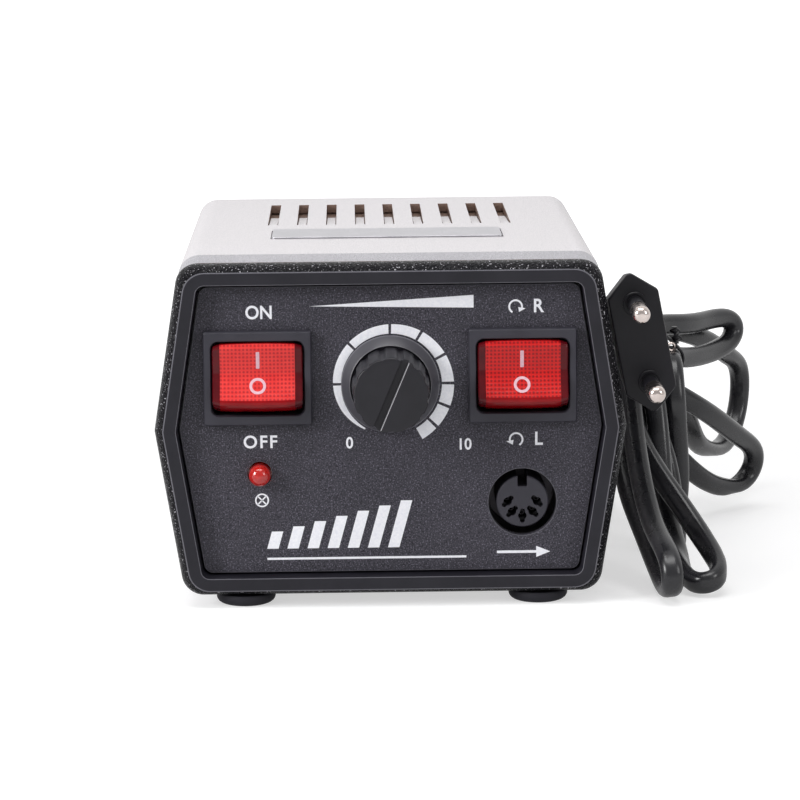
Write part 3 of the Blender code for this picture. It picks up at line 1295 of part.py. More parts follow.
def make_output_socket():
    """Shell behind the panel, keyed insert inside it, and five contacts in the insert."""
    front = PANEL_BACK_DEPTH + GAP
    centre = (SOCKET_SPREAD, SOCKET_RISE)
    flange = rounded_rectangle(SOCKET_FLANGE_WIDTH, SOCKET_FLANGE_HEIGHT, SOCKET_FLANGE_CORNER, centre)
    shell = prism("output_socket_shell", flange, front, front + SOCKET_FLANGE_THICKNESS, brushed_metal())
    barrel = prism("join_socket_barrel", circle(SOCKET_SHELL_RADIUS, FINE_STEPS, centre),
                   front + SOCKET_FLANGE_THICKNESS / 2.0, front + SOCKET_SHELL_DEPTH)
    fuse(shell, barrel)
    well_back = front + SOCKET_SHELL_DEPTH - SOCKET_BACK_THICKNESS
    cut(shell, prism("cut_socket_well", circle(SOCKET_MOUTH_RADIUS, FINE_STEPS, centre),
                     front - OVERRUN, well_back))
    face = PANEL_FRONT_DEPTH + INSERT_SETBACK
    insert = prism("output_socket_insert", circle(INSERT_RADIUS, FINE_STEPS, centre),
                   face, well_back - GAP, black_plastic())
    key_low = SOCKET_RISE + INSERT_RADIUS - INSERT_KEY_DEPTH
    key_centre = (SOCKET_SPREAD, key_low + (INSERT_KEY_DEPTH + OVERRUN) / 2.0)
    key = rectangle(INSERT_KEY_WIDTH, INSERT_KEY_DEPTH + OVERRUN, key_centre)
    cut(insert, prism("cut_insert_key", key, face - OVERRUN, well_back + OVERRUN))
    for index, degrees in enumerate(CONTACT_ANGLES):
        angle = math.radians(degrees)
        x = SOCKET_SPREAD + CONTACT_CIRCLE * math.cos(angle)
        z = SOCKET_RISE + CONTACT_CIRCLE * math.sin(angle)
        hole = circle(CONTACT_HOLE_RADIUS, SMALL_STEPS, (x, z))
        cut(insert, prism("cut_contact_{}".format(index), hole, face - OVERRUN, well_back + OVERRUN))
        back_hole = circle(CONTACT_HOLE_RADIUS, SMALL_STEPS, (x, z))
        cut(shell, prism("cut_shell_contact_{}".format(index), back_hole, well_back - OVERRUN,
                         front + SOCKET_SHELL_DEPTH + OVERRUN))
        start = face + CONTACT_SETBACK
        end = front + SOCKET_SHELL_DEPTH + CONTACT_TAIL
        length = end - start
        profile = (
            (CONTACT_BORE_RADIUS, 0.0),
            (CONTACT_BORE_RADIUS, -length * CONTACT_BORE_SHARE),
            (0.0, -length * CONTACT_BORE_SHARE),
        )
        outer = ((0.0, -length), (CONTACT_RADIUS, -length), (CONTACT_RADIUS, 0.0))
        turned("output_contact_{}".format(index + 1), outer + profile, brass(),
               facing_front(Vector((x, y_at(start), z))), SMALL_STEPS)
    return shell


def board_bottom():
    return FLOOR + GAP + STANDOFF_HEIGHT + GAP


def make_control_board():
    """Board with a hole at each standoff."""
    low = (-BOARD_WIDTH / 2.0, y_at(BOARD_FRONT), board_bottom())
    high = (BOARD_WIDTH / 2.0, y_at(BOARD_FRONT + BOARD_DEPTH), board_bottom() + BOARD_THICKNESS)
    board = block("control_board", low, high, board_green())
    for index, (shift, depth) in enumerate(board_corner_places()):
        hole = STANDOFF_PIN_RADIUS + GAP
        profile = ((0.0, -OVERRUN), (hole, -OVERRUN), (hole, BOARD_THICKNESS + OVERRUN),
                   (0.0, BOARD_THICKNESS + OVERRUN))
        place = Matrix.Translation(Vector((shift, y_at(depth), board_bottom())))
        cut(board, turned("cut_board_{}".format(index), profile, None, place, SMALL_STEPS))
    return board


def make_standoffs():
    """Standoffs with a pin up into the board and one down into the floor."""
    for index, (shift, depth) in enumerate(board_corner_places()):
        top = GAP + STANDOFF_HEIGHT
        profile = (
            (0.0, -STANDOFF_PIN_HEIGHT),
            (STANDOFF_PIN_RADIUS, -STANDOFF_PIN_HEIGHT),
            (STANDOFF_PIN_RADIUS, GAP),
            (STANDOFF_RADIUS, GAP),
            (STANDOFF_RADIUS, top),
            (STANDOFF_PIN_RADIUS, top),
            (STANDOFF_PIN_RADIUS, top + STANDOFF_PIN_HEIGHT),
            (0.0, top + STANDOFF_PIN_HEIGHT),
        )
        place = Matrix.Translation(Vector((shift, y_at(depth), FLOOR)))
        turned("board_standoff_{}".format(index + 1), profile, nickel(), place, SMALL_STEPS)


def make_board_parts():
    """Smoothing capacitor, bridge rectifier, finned heat sink and the transistor on it."""
    top = board_bottom() + BOARD_THICKNESS + GAP
    middle = BOARD_FRONT + BOARD_DEPTH / 2.0
    height = CAPACITOR_HEIGHT
    radius = CAPACITOR_RADIUS
    groove = CAPACITOR_GROOVE
    profile = (
        (0.0, 0.0),
        (radius - groove, 0.0),
        (radius, groove),
        (radius, CAPACITOR_GROOVE_RISE - groove),
        (radius - groove, CAPACITOR_GROOVE_RISE),
        (radius, CAPACITOR_GROOVE_RISE + groove),
        (radius, height - groove),
        (radius - groove, height),
        (0.0, height),
    )
    place = Matrix.Translation(Vector((CAPACITOR_SHIFT, y_at(middle), top)))
    turned("smoothing_capacitor", profile, black_plastic(), place)
    low = (RECTIFIER_SHIFT - RECTIFIER_WIDTH / 2.0, y_at(middle - RECTIFIER_DEPTH / 2.0), top)
    high = (RECTIFIER_SHIFT + RECTIFIER_WIDTH / 2.0, y_at(middle + RECTIFIER_DEPTH / 2.0),
            top + RECTIFIER_HEIGHT)
    block("bridge_rectifier", low, high, black_plastic())
    make_heat_sink(top, middle)
    make_transistor(top, middle)


def make_heat_sink(top, middle):
    """Comb of fins that point forwards from a plate."""
    left = SINK_SHIFT - SINK_WIDTH / 2.0
    plate_front = y_at(middle)
    fin_front = y_at(middle - SINK_DEPTH + SINK_WALL)
    step = (SINK_WIDTH - SINK_WALL) / (SINK_FINS - 1)
    outline = [(left + SINK_WIDTH, plate_front + SINK_WALL), (left, plate_front + SINK_WALL)]
    for fin in range(SINK_FINS):
        start = left + step * fin
        outline.append((start, fin_front))
        outline.append((start + SINK_WALL, fin_front))
        if fin < SINK_FINS - 1:
            outline.append((start + SINK_WALL, plate_front))
            outline.append((start + step, plate_front))
    rings = [[Vector((x, y, z)) for x, y in outline] for z in (top, top + SINK_HEIGHT)]
    return loft("heat_sink", rings, brushed_metal())


def make_transistor(top, middle):
    """Power transistor flat against the back of the heat sink, standing on its legs."""
    back = middle + SINK_WALL + GAP
    base = top + TRANSISTOR_LEG_HEIGHT
    half = TRANSISTOR_WIDTH / 2.0
    tab_low = (SINK_SHIFT - half, y_at(back), base)
    tab_high = (SINK_SHIFT + half, y_at(back + TRANSISTOR_TAB_THICKNESS), base + TRANSISTOR_TAB_HEIGHT)
    device = block("power_transistor", tab_low, tab_high, black_plastic())
    body_low = (SINK_SHIFT - half, y_at(back + TRANSISTOR_TAB_THICKNESS / 2.0), base)
    body_high = (SINK_SHIFT + half, y_at(back + TRANSISTOR_DEPTH), base + TRANSISTOR_HEIGHT)
    fuse(device, block("join_transistor_body", body_low, body_high))
    hole_rise = base + (TRANSISTOR_HEIGHT + TRANSISTOR_TAB_HEIGHT) / 2.0
    hole = circle(TRANSISTOR_HOLE_RADIUS, SMALL_STEPS, (SINK_SHIFT, hole_rise))
    cut(device, prism("cut_transistor", hole, back - OVERRUN, back + TRANSISTOR_DEPTH + OVERRUN))
    leg = TRANSISTOR_TAB_THICKNESS / 2.0
    for index in (-1.0, 0.0, 1.0):
        x = SINK_SHIFT + index * TRANSISTOR_WIDTH / 4.0
        leg_back = back + TRANSISTOR_DEPTH / 2.0
        low = (x - leg / 2.0, y_at(leg_back), top)
        high = (x + leg / 2.0, y_at(leg_back) + leg, base + leg)
        fuse(device, block("join_leg_{}".format(index), low, high))
    return device


def make_transformer():
    """Laminated core with two windows, wound bobbin round its tongue, and the strap over it."""
    bottom = FLOOR + CORE_LIFT + GAP
    front = CORE_FRONT
    back = CORE_FRONT + CORE_STACK
    half = CORE_WIDTH / 2.0
    core = block("transformer_core", (-half, y_at(front), bottom), (half, y_at(back), bottom + CORE_HEIGHT),
                 steel())
    window_low = bottom + CORE_LIMB
    window_high = bottom + CORE_HEIGHT - CORE_LIMB
    window_inner = CORE_TONGUE / 2.0
    window_outer = half - CORE_LIMB
    for word, side in (("left", -1.0), ("right", 1.0)):
        xs = sorted((side * window_inner, side * window_outer))
        low = (xs[0], y_at(front) - OVERRUN, window_low)
        high = (xs[1], y_at(back) + OVERRUN, window_high)
        cut(core, block("cut_window_" + word, low, high))
    coil_half = window_outer - GAP
    coil_low = (-coil_half, y_at(front - WINDING_OVERHANG), window_low + GAP)
    coil_high = (coil_half, y_at(back + WINDING_OVERHANG), window_high - GAP)
    winding = block("transformer_winding", coil_low, coil_high, winding_tape())
    tongue_half = CORE_TONGUE / 2.0 + GAP
    cut(winding, block("cut_tongue", (-tongue_half, y_at(front) - GAP, window_low - OVERRUN),
                       (tongue_half, y_at(back) + GAP, window_high + OVERRUN)))
    waist_low = window_low + GAP + WINDING_CHEEK
    waist_high = window_high - GAP - WINDING_CHEEK
    coil_front = y_at(front - WINDING_OVERHANG)
    coil_back = y_at(back + WINDING_OVERHANG)
    for word, y_low, y_high in (("front", coil_front - OVERRUN, coil_front + WINDING_INSET),
                                ("back", coil_back - WINDING_INSET, coil_back + OVERRUN)):
        low = (-coil_half - OVERRUN, y_low, waist_low)
        high = (coil_half + OVERRUN, y_high, waist_high)
        cut(winding, block("cut_winding_" + word, low, high))
    return make_strap(bottom)


def make_strap(bottom):
    """Bent steel strap over the core, screwed down through a foot on each side."""
    thickness = STRAP_THICKNESS
    inner = CORE_WIDTH / 2.0 + GAP
    outer = inner + thickness
    foot = outer + STRAP_FOOT
    top = bottom + CORE_HEIGHT + GAP
    outline = [
        (-foot, bottom), (-inner, bottom), (-inner, top), (inner, top), (inner, bottom), (foot, bottom),
        (foot, bottom + thickness), (outer, bottom + thickness), (outer, top + thickness),
        (-outer, top + thickness), (-outer, bottom + thickness), (-foot, bottom + thickness),
    ]
    middle = CORE_FRONT + CORE_STACK / 2.0
    half_depth = STRAP_DEPTH / 2.0
    strap = prism("transformer_strap", outline, middle - half_depth, middle + half_depth, steel())
    for word, side in (("left", -1.0), ("right", 1.0)):
        place = Matrix.Translation(Vector((side * strap_screw_shift(), y_at(middle), bottom)))
        hole = STRAP_SCREW_RADIUS + GAP
        above = thickness + OVERRUN
        profile = ((0.0, -OVERRUN), (hole, -OVERRUN), (hole, above), (0.0, above))
        cut(strap, turned("cut_strap_" + word, profile, None, place, SMALL_STEPS))
        head = thickness + GAP
        screw = (
            (0.0, -STRAP_SCREW_LENGTH + head),
            (STRAP_SCREW_RADIUS, -STRAP_SCREW_LENGTH + head),
            (STRAP_SCREW_RADIUS, head),
            (STRAP_SCREW_HEAD, head),
            (STRAP_SCREW_HEAD, head + STRAP_SCREW_HEAD_HEIGHT * STRAP_SCREW_RIM_SHARE),
            (STRAP_SCREW_HEAD * STRAP_SCREW_TOP_SHARE, head + STRAP_SCREW_HEAD_HEIGHT),
            (0.0, head + STRAP_SCREW_HEAD_HEIGHT),
        )
        turned("transformer_screw_" + word, screw, steel(), place, SMALL_STEPS)
    return strap


def make_fuse_holder():
    """Holder through the rear panel, quarter-turn cap behind it, and the fuse link in the bore."""
    seat = Vector((-FUSE_SPREAD, y_at(REAR_OUTER_DEPTH + GAP), FUSE_RISE))
    flange = FUSE_FLANGE_THICKNESS
    inner = -GAP - REAR_THICKNESS - GAP
    profile = (
        (0.0, flange - FUSE_BORE_DEPTH),
        (FUSE_BORE_RADIUS, flange - FUSE_BORE_DEPTH),
        (FUSE_BORE_RADIUS, flange),
        (FUSE_FLANGE_RADIUS, flange),
        (FUSE_FLANGE_RADIUS, 0.0),
        (FUSE_BODY_RADIUS, 0.0),
        (FUSE_BODY_RADIUS, inner),
        (FUSE_NUT_RADIUS, inner),
        (FUSE_NUT_RADIUS, inner - FUSE_NUT_THICKNESS),
        (FUSE_BODY_RADIUS, inner - FUSE_NUT_THICKNESS),
        (FUSE_BODY_RADIUS, -FUSE_BODY_DEPTH),
        (0.0, -FUSE_BODY_DEPTH),
    )
    turned("fuse_holder", profile, black_plastic(), facing_rear(seat))
    cap_base = flange + RUNNING_GAP
    cap_seat = seat + Vector((0.0, cap_base, 0.0))
    rings = []
    steps = FUSE_CAP_RIBS * 2
    for radius, height, ribbed in (
            (FUSE_PLUG_RADIUS, -FUSE_PLUG_LENGTH, 0.0),
            (FUSE_PLUG_RADIUS, 0.0, 0.0),
            (FUSE_CAP_RADIUS, 0.0, 1.0),
            (FUSE_CAP_RADIUS, FUSE_CAP_LENGTH - FUSE_CAP_CHAMFER, 1.0),
            (FUSE_CAP_RADIUS - FUSE_CAP_CHAMFER, FUSE_CAP_LENGTH, 0.0)):
        ring = []
        for step in range(steps):
            angle = math.tau * step / steps
            trimmed = radius - FUSE_CAP_RIB_DEPTH * ribbed * (step % 2)
            ring.append(Vector((trimmed * math.cos(angle), trimmed * math.sin(angle), height)))
        rings.append(ring)
    cap = loft("fuse_cap", rings, black_plastic(), place=facing_rear(cap_seat))
    half_width = FUSE_CAP_SLOT_WIDTH / 2.0
    low = FUSE_CAP_LENGTH - FUSE_CAP_SLOT_DEPTH
    slot = []
    for y in (-FUSE_CAP_RADIUS - OVERRUN, FUSE_CAP_RADIUS + OVERRUN):
        slot.append([Vector((-half_width, y, low)), Vector((half_width, y, low)),
                     Vector((half_width, y, FUSE_CAP_LENGTH + OVERRUN)),
                     Vector((-half_width, y, FUSE_CAP_LENGTH + OVERRUN))])
    cut(cap, loft("cut_cap_slot", slot, None, place=facing_rear(cap_seat)))
    link_end = cap_base - FUSE_PLUG_LENGTH - GAP
    glass_radius = FUSE_LINK_RADIUS - FUSE_LINK_WAIST
    link = (
        (0.0, -FUSE_LINK_LENGTH),
        (FUSE_LINK_RADIUS, -FUSE_LINK_LENGTH),
        (FUSE_LINK_RADIUS, -FUSE_LINK_LENGTH + FUSE_LINK_END),
        (glass_radius, -FUSE_LINK_LENGTH + FUSE_LINK_END),
        (glass_radius, -FUSE_LINK_END),
        (FUSE_LINK_RADIUS, -FUSE_LINK_END),
        (FUSE_LINK_RADIUS, 0.0),
        (0.0, 0.0),
    )
    turned("fuse_link", link, glass(), facing_rear(seat + Vector((0.0, link_end, 0.0))), SMALL_STEPS)
    return cap


def make_pedal_socket():
    """Jack for the foot pedal: moulded body inside, bushing through the panel, nut outside."""
    centre = (-PEDAL_SPREAD, PEDAL_RISE)
    back = REAR_INNER_DEPTH - GAP
    outline = rounded_rectangle(PEDAL_BODY_WIDTH, PEDAL_BODY_HEIGHT, PEDAL_BODY_CORNER, centre)
    body = prism("pedal_socket", outline, back - PEDAL_BODY_DEPTH, back, black_plastic())
    tip = REAR_OUTER_DEPTH + PEDAL_PROUD
    bushing = circle(PEDAL_BUSHING_RADIUS, ROUND_STEPS, centre)
    fuse(body, prism("join_pedal_bushing", bushing, back - OVERRUN, tip))
    cut(body, prism("cut_pedal_bore", circle(PEDAL_BORE_RADIUS, ROUND_STEPS, centre),
                    tip - PEDAL_BORE_DEPTH, tip + OVERRUN))
    seat = Vector((-PEDAL_SPREAD, y_at(REAR_OUTER_DEPTH + GAP), PEDAL_RISE))
    outer = PEDAL_NUT_ACROSS_FLATS / math.sqrt(3.0)
    prism_nut("pedal_socket_nut", outer, PEDAL_BUSHING_RADIUS + GAP, PEDAL_NUT_THICKNESS,
              facing_rear(seat), nickel())
    return body


def make_voltage_selector():
    """Recessed slide switch with a slotted slider."""
    centre = (0.0, SELECTOR_RISE)
    face_back = REAR_OUTER_DEPTH + GAP + SELECTOR_FACE_THICKNESS
    body = prism("voltage_selector", rectangle(SELECTOR_FACE_WIDTH, SELECTOR_FACE_HEIGHT, centre),
                 REAR_OUTER_DEPTH + GAP, face_back, black_plastic())
    inner = rectangle(SELECTOR_BODY_WIDTH, SELECTOR_BODY_HEIGHT, centre)
    fuse(body, prism("join_selector_body", inner, face_back - SELECTOR_BODY_DEPTH,
                     REAR_OUTER_DEPTH + GAP + SELECTOR_FACE_THICKNESS / 2.0))
    well = rectangle(SELECTOR_WELL_WIDTH, SELECTOR_WELL_HEIGHT, centre)
    well_front = face_back - SELECTOR_WELL_DEPTH
    cut(body, prism("cut_selector_well", well, well_front, face_back + OVERRUN))
    width = SELECTOR_WELL_WIDTH - SELECTOR_TRAVEL - 2.0 * RUNNING_GAP
    height = SELECTOR_WELL_HEIGHT - 2.0 * RUNNING_GAP
    shift = -SELECTOR_TRAVEL / 2.0
    slider_front = well_front + RUNNING_GAP
    slider_back = face_back - SELECTOR_SLIDER_SETBACK
    slider = prism("voltage_selector_slider", rectangle(width, height, (shift, SELECTOR_RISE)),
                   slider_front, slider_back, red_lens())
    slot = rectangle(width / 4.0, height + OVERRUN, (shift, SELECTOR_RISE))
    middle = (slider_front + slider_back) / 2.0
    cut(slider, prism("cut_slider_slot", slot, middle, slider_back + OVERRUN))
    return set_origin(slider, Vector((shift, y_at(middle), SELECTOR_RISE)))


def make_strain_relief():
    """Tapered sleeve with rings, locked in the rear panel."""
    seat = Vector((CORD_SPREAD, y_at(REAR_OUTER_DEPTH + GAP), CORD_RISE))
    inner = -GAP - REAR_THICKNESS - GAP
    profile = [
        (0.0, inner - RELIEF_HEAD_LENGTH),
        (RELIEF_NECK_RADIUS, inner - RELIEF_HEAD_LENGTH),
        (RELIEF_HEAD_RADIUS, inner),
        (RELIEF_NECK_RADIUS, inner),
        (RELIEF_NECK_RADIUS, 0.0),
        (RELIEF_FLANGE_RADIUS, 0.0),
        (RELIEF_FLANGE_RADIUS, RELIEF_FLANGE_THICKNESS),
    ]
    span = (RELIEF_LENGTH - RELIEF_FLANGE_THICKNESS) / RELIEF_RIBS
    for rib in range(RELIEF_RIBS):
        start = RELIEF_FLANGE_THICKNESS + span * rib
        share = rib / RELIEF_RIBS
        radius = RELIEF_ROOT_RADIUS + (RELIEF_TIP_RADIUS - RELIEF_ROOT_RADIUS) * share
        profile.append((radius - RELIEF_RIB_DEPTH, start))
        profile.append((radius - RELIEF_RIB_DEPTH, start + span * RELIEF_GROOVE_SHARE))
        profile.append((radius, start + span * RELIEF_GROOVE_SHARE))
        profile.append((radius, start + span))
    profile.append((0.0, RELIEF_LENGTH))
    return turned("cord_strain_relief", profile, black_rubber(), facing_rear(seat), MEDIUM_STEPS)


def cord_point(point):
    """Place of a point of the lead that is given in millimetres."""
    spread, depth, rise = (value * MM for value in point)
    return Vector((spread, y_at(depth), rise))


def run_points(index):
    """Straight run through the tie, to the front for the first and every second one."""
    column, row = RUN_PLACES[index]
    spread = RUN_SPREAD + column * RUN_PITCH
    rise = RUN_RISE + row * RUN_PITCH
    depths = [RUN_BACK, (RUN_BACK + RUN_FRONT) / 2.0, RUN_FRONT]
    if index % 2 == 1:
        depths.reverse()
    return [Vector((spread, y_at(depth), rise)) for depth in depths]


def fold_points(fold):
    """Points out to a fold, half an ellipse round it, and the points back."""
    out, bend, back = fold
    start, tip, end = [cord_point(point) for point in bend]
    centre = (start + end) / 2.0
    arc = []
    for step in range(DOME_STEPS + 1):
        angle = math.pi * step / DOME_STEPS
        arc.append(centre + (start - centre) * math.cos(angle) + (tip - centre) * math.sin(angle))
    return [cord_point(point) for point in out] + arc + [cord_point(point) for point in back]


def relief_tip():
    """Depth of the end of the strain relief."""
    return REAR_OUTER_DEPTH + GAP + RELIEF_LENGTH


def cord_route():
    """Points that the lead passes through, from the strain relief to the plug."""
    start = Vector((CORD_SPREAD, y_at(relief_tip() + GAP), CORD_RISE))
    route = [start] + [cord_point(point) for point in CORD_TAIL]
    for index, fold in enumerate(CORD_FOLDS):
        route += run_points(index) + fold_points(fold)
    route += run_points(len(CORD_FOLDS)) + [cord_point(point) for point in CORD_HEAD]
    end = Vector((PLUG_SPREAD, y_at(PLUG_FACE + PLUG_DEPTH + GAP), PLUG_RISE))
    route += [end + Vector((0.0, CORD_WIDTH, 0.0)), end]
    return route


def smooth(route, step):
    """Evenly rounded curve through a route, in pieces no longer than the step."""
    ends = [route[0] * 2.0 - route[1]] + route + [route[-1] * 2.0 - route[-2]]
    points = []
    for before, here, after, beyond in zip(ends, ends[1:], ends[2:], ends[3:]):
        knots = [0.0]
        for a, b in ((before, here), (here, after), (after, beyond)):
            knots.append(knots[-1] + math.sqrt((b - a).length))
        pieces = max(1, math.ceil((after - here).length / step))
        for piece in range(pieces):
            at = knots[1] + (knots[2] - knots[1]) * piece / pieces
            level = [before, here, after, beyond]
            for degree in (1, 2, 3):
                first = 1 if degree == 3 else 0
                lower = []
                for index in range(len(level) - 1):
                    left = knots[index if degree < 3 else first]
                    right = knots[index + degree if degree < 3 else 2]
                    share = (at - left) / (right - left)
                    lower.append(level[index].lerp(level[index + 1], share))
                level = lower
            points.append(level[0])
    points.append(route[-1])
    return points


def least_gap(points):
    """Least distance between two stretches of the lead's surface that aren't next to each other."""
    run = [0.0]
    for a, b in zip(points, points[1:]):
        run.append(run[-1] + (b - a).length)
    least = run[-1]
    for i, here in enumerate(points):
        for j in range(i + 1, len(points)):
            if run[j] - run[i] > CORD_NEAR:
                least = min(least, (points[j] - here).length)
    return least - CORD_WIDTH, run[-1]


def make_tube(name, points, diameter, surface):
    """Round tube with closed ends along the points."""
    curve = bpy.data.curves.new(name, "CURVE")
    curve.dimensions = "3D"
    curve.bevel_depth = diameter / 2.0
    curve.bevel_resolution = 1
    curve.use_fill_caps = True
    line = curve.splines.new("POLY")
    line.points.add(len(points) - 1)
    for slot, point in zip(line.points, points):
        slot.co = (*point, 1.0)
    line.use_smooth = True
    curve.materials.append(surface)
    tube = bpy.data.objects.new(name, curve)
    bpy.context.scene.collection.objects.link(tube)
    return tube


def make_mains_lead():
    """One unbroken tube from the strain relief through the hank to the plug."""
    route = cord_route()
    gap, length = least_gap(smooth(route, CORD_STEP / 6.0))
    print("mains lead: length {:.0f} mm, least gap to itself {:.2f} mm".format(length / MM, gap / MM))
    if gap < CORD_LEAST_GAP:
        print("mains lead: the gap is under {:.1f} mm".format(CORD_LEAST_GAP / MM))
    return make_tube("mains_lead", smooth(route, CORD_STEP), CORD_WIDTH, cord_vinyl())


def make_cord_tie():
    """Band round the runs of the hank, with its twisted end on the outer side."""
    right = RUN_SPREAD + RUN_PITCH
    top = RUN_RISE + 2.0 * RUN_PITCH
    centres = [
        Vector((RUN_SPREAD, RUN_RISE)),
        Vector((right, RUN_RISE)),
        Vector((right + RUN_PITCH, RUN_RISE + RUN_PITCH)),
        Vector((right, top)),
        Vector((RUN_SPREAD, top)),
    ]
    inner_radius = CORD_WIDTH / 2.0 + GAP
    outer_radius = inner_radius + TIE_THICKNESS
    count = len(centres)
    inner = fillet(inset_corners(centres, -inner_radius), (inner_radius,) * count, CORNER_STEPS)
    outer = fillet(inset_corners(centres, -outer_radius), (outer_radius,) * count, CORNER_STEPS)
    middle = (RUN_FRONT + RUN_BACK) / 2.0
    front = middle - TIE_WIDTH / 2.0
    back = middle + TIE_WIDTH / 2.0
    rings = [ring_at(outer, front), ring_at(outer, back), ring_at(inner, back), ring_at(inner, front)]
    tie = loft("cord_tie", rings, black_rubber(), loop=True)
    knot_left = right + RUN_PITCH / 2.0 + inner_radius
    knot_low = RUN_RISE + RUN_PITCH + TIE_KNOT_RISE
    low = (knot_left, y_at(front), knot_low)
    high = (knot_left + TIE_KNOT_WIDTH, y_at(front + TIE_WIDTH / 2.0), knot_low + TIE_KNOT_HEIGHT)
    fuse(tie, block("join_tie_knot", low, high))
    return tie


def plug_frame():
    """Placement on the plug's face, local X across it, local Z along it."""
    centre = Vector((PLUG_SPREAD, y_at(PLUG_FACE), PLUG_RISE))
    return Matrix.Translation(centre) @ Matrix.Rotation(PLUG_LEAN, 4, "Y")


def plug_outline(length, width, point, corner):
    """Six-sided outline of the plug, points at the ends."""
    half_l = length / 2.0
    half_w = width / 2.0
    corners = [
        (0.0, -half_l), (half_w, -half_l + point), (half_w, half_l - point),
        (0.0, half_l), (-half_w, half_l - point), (-half_w, -half_l + point),
    ]
    return fillet(corners, (corner,) * len(corners), PLUG_CORNER_STEPS)


def make_plug():
    """Moulded body with two sleeves, and the two pins in them."""
    sections = (
        (PLUG_LENGTH - PLUG_EDGE * 2.0, PLUG_WIDTH - PLUG_EDGE * 2.0, PLUG_POINT, 0.0),
        (PLUG_LENGTH, PLUG_WIDTH, PLUG_POINT, PLUG_EDGE),
        (PLUG_LENGTH, PLUG_WIDTH, PLUG_POINT, PLUG_FULL_DEPTH),
        (PLUG_WAIST_LENGTH, PLUG_WAIST_WIDTH, PLUG_POINT, PLUG_WAIST_DEPTH),
        (PLUG_TAIL_LENGTH, PLUG_TAIL_WIDTH, PLUG_POINT / 2.0, PLUG_DEPTH),
    )
    rings = []
    for length, width, point, depth in sections:
        outline = plug_outline(length, width, point, PLUG_CORNER)
        rings.append([Vector((corner[0], depth, corner[1])) for corner in outline])
    frame = plug_frame()
    body = loft("plug_body", rings, black_plastic(), place=frame)
    sleeve = PIN_LENGTH - PIN_BARE_LENGTH - GAP
    for word, side in (("top", 1.0), ("bottom", -1.0)):
        seat = frame @ Vector((0.0, 0.0, side * PIN_SPACING / 2.0))
        place = facing_front(seat)
        wall = ((0.0, -OVERRUN), (SLEEVE_RADIUS, -OVERRUN), (SLEEVE_RADIUS, sleeve), (0.0, sleeve))
        fuse(body, turned("join_sleeve_" + word, wall, None, place))
        bore = PIN_STEM_RADIUS + GAP
        hole = ((0.0, GAP), (bore, GAP), (bore, sleeve + OVERRUN), (0.0, sleeve + OVERRUN))
        cut(body, turned("cut_sleeve_" + word, hole, None, place, SMALL_STEPS))
        bare = PIN_LENGTH - PIN_BARE_LENGTH
        pin = [
            (0.0, GAP + GAP),
            (PIN_STEM_RADIUS, GAP + GAP),
            (PIN_STEM_RADIUS, bare),
            (PIN_RADIUS, bare),
        ]
        for step in range(DOME_STEPS):
            angle = math.pi / 2.0 * step / DOME_STEPS
            pin.append((PIN_RADIUS * math.cos(angle), PIN_LENGTH - PIN_RADIUS * (1.0 - math.sin(angle))))
        pin.append((0.0, PIN_LENGTH))
        turned("plug_pin_" + word, pin, nickel(), place)
    return body


def build():
    """Make every piece of the control box."""
    remove_all()
    make_front_bezel()
    make_front_panel()
    make_top_cover()
    make_top_plate()
    make_base_tray()
    make_rear_panel()
    make_feet()
    make_case_screws()
    for word, centre in zip(("power", "direction"), switch_centres()):
        make_switch_body(word + "_switch_body", centre)
        make_rocker(word + "_rocker", centre)
    make_speed_knob()
    make_potentiometer()
    make_lamp()
    make_output_socket()
    make_control_board()
    make_standoffs()
    make_board_parts()
    make_transformer()
    make_fuse_holder()
    make_pedal_socket()
    make_voltage_selector()
    make_strain_relief()
    make_mains_lead()
    make_cord_tie()
    make_plug()


build()
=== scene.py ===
"""Looks of the control box of a dental laboratory micromotor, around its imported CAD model.

Lengths are in millimetres and are turned to metres as a piece is made. X is to the right seen from
the front, Z is up, and a depth is counted backwards from the front of the rim.
"""
from math import asin, ceil, cos, pi, radians, sin, sqrt, tan, tau

import bmesh
import bpy
import numpy as np
from mathutils import Matrix, Vector


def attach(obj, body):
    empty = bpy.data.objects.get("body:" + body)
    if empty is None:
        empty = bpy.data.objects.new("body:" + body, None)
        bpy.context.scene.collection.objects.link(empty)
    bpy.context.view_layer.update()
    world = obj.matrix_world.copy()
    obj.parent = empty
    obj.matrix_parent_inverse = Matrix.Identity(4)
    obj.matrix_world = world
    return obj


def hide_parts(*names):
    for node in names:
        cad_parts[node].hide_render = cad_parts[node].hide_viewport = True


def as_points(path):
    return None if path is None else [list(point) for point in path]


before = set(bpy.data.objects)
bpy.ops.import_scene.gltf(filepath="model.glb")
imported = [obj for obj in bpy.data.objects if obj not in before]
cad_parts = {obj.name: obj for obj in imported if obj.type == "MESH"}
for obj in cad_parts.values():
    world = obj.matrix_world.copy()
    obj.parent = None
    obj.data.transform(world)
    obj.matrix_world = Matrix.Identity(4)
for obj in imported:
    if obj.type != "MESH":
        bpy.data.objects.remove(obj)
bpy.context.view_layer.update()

MM = 0.001
FRONT = -60.75
AHEAD = (0, -1, 0)
BACK = (0, 1, 0)
WHITE = (1, 1, 1, 1)


# ---------------------------------------------------------------- outlines and meshes

def at(x, depth, z):
    """Point in the frame of the CAD, in millimetres."""
    return Vector((x, FRONT + depth, z))


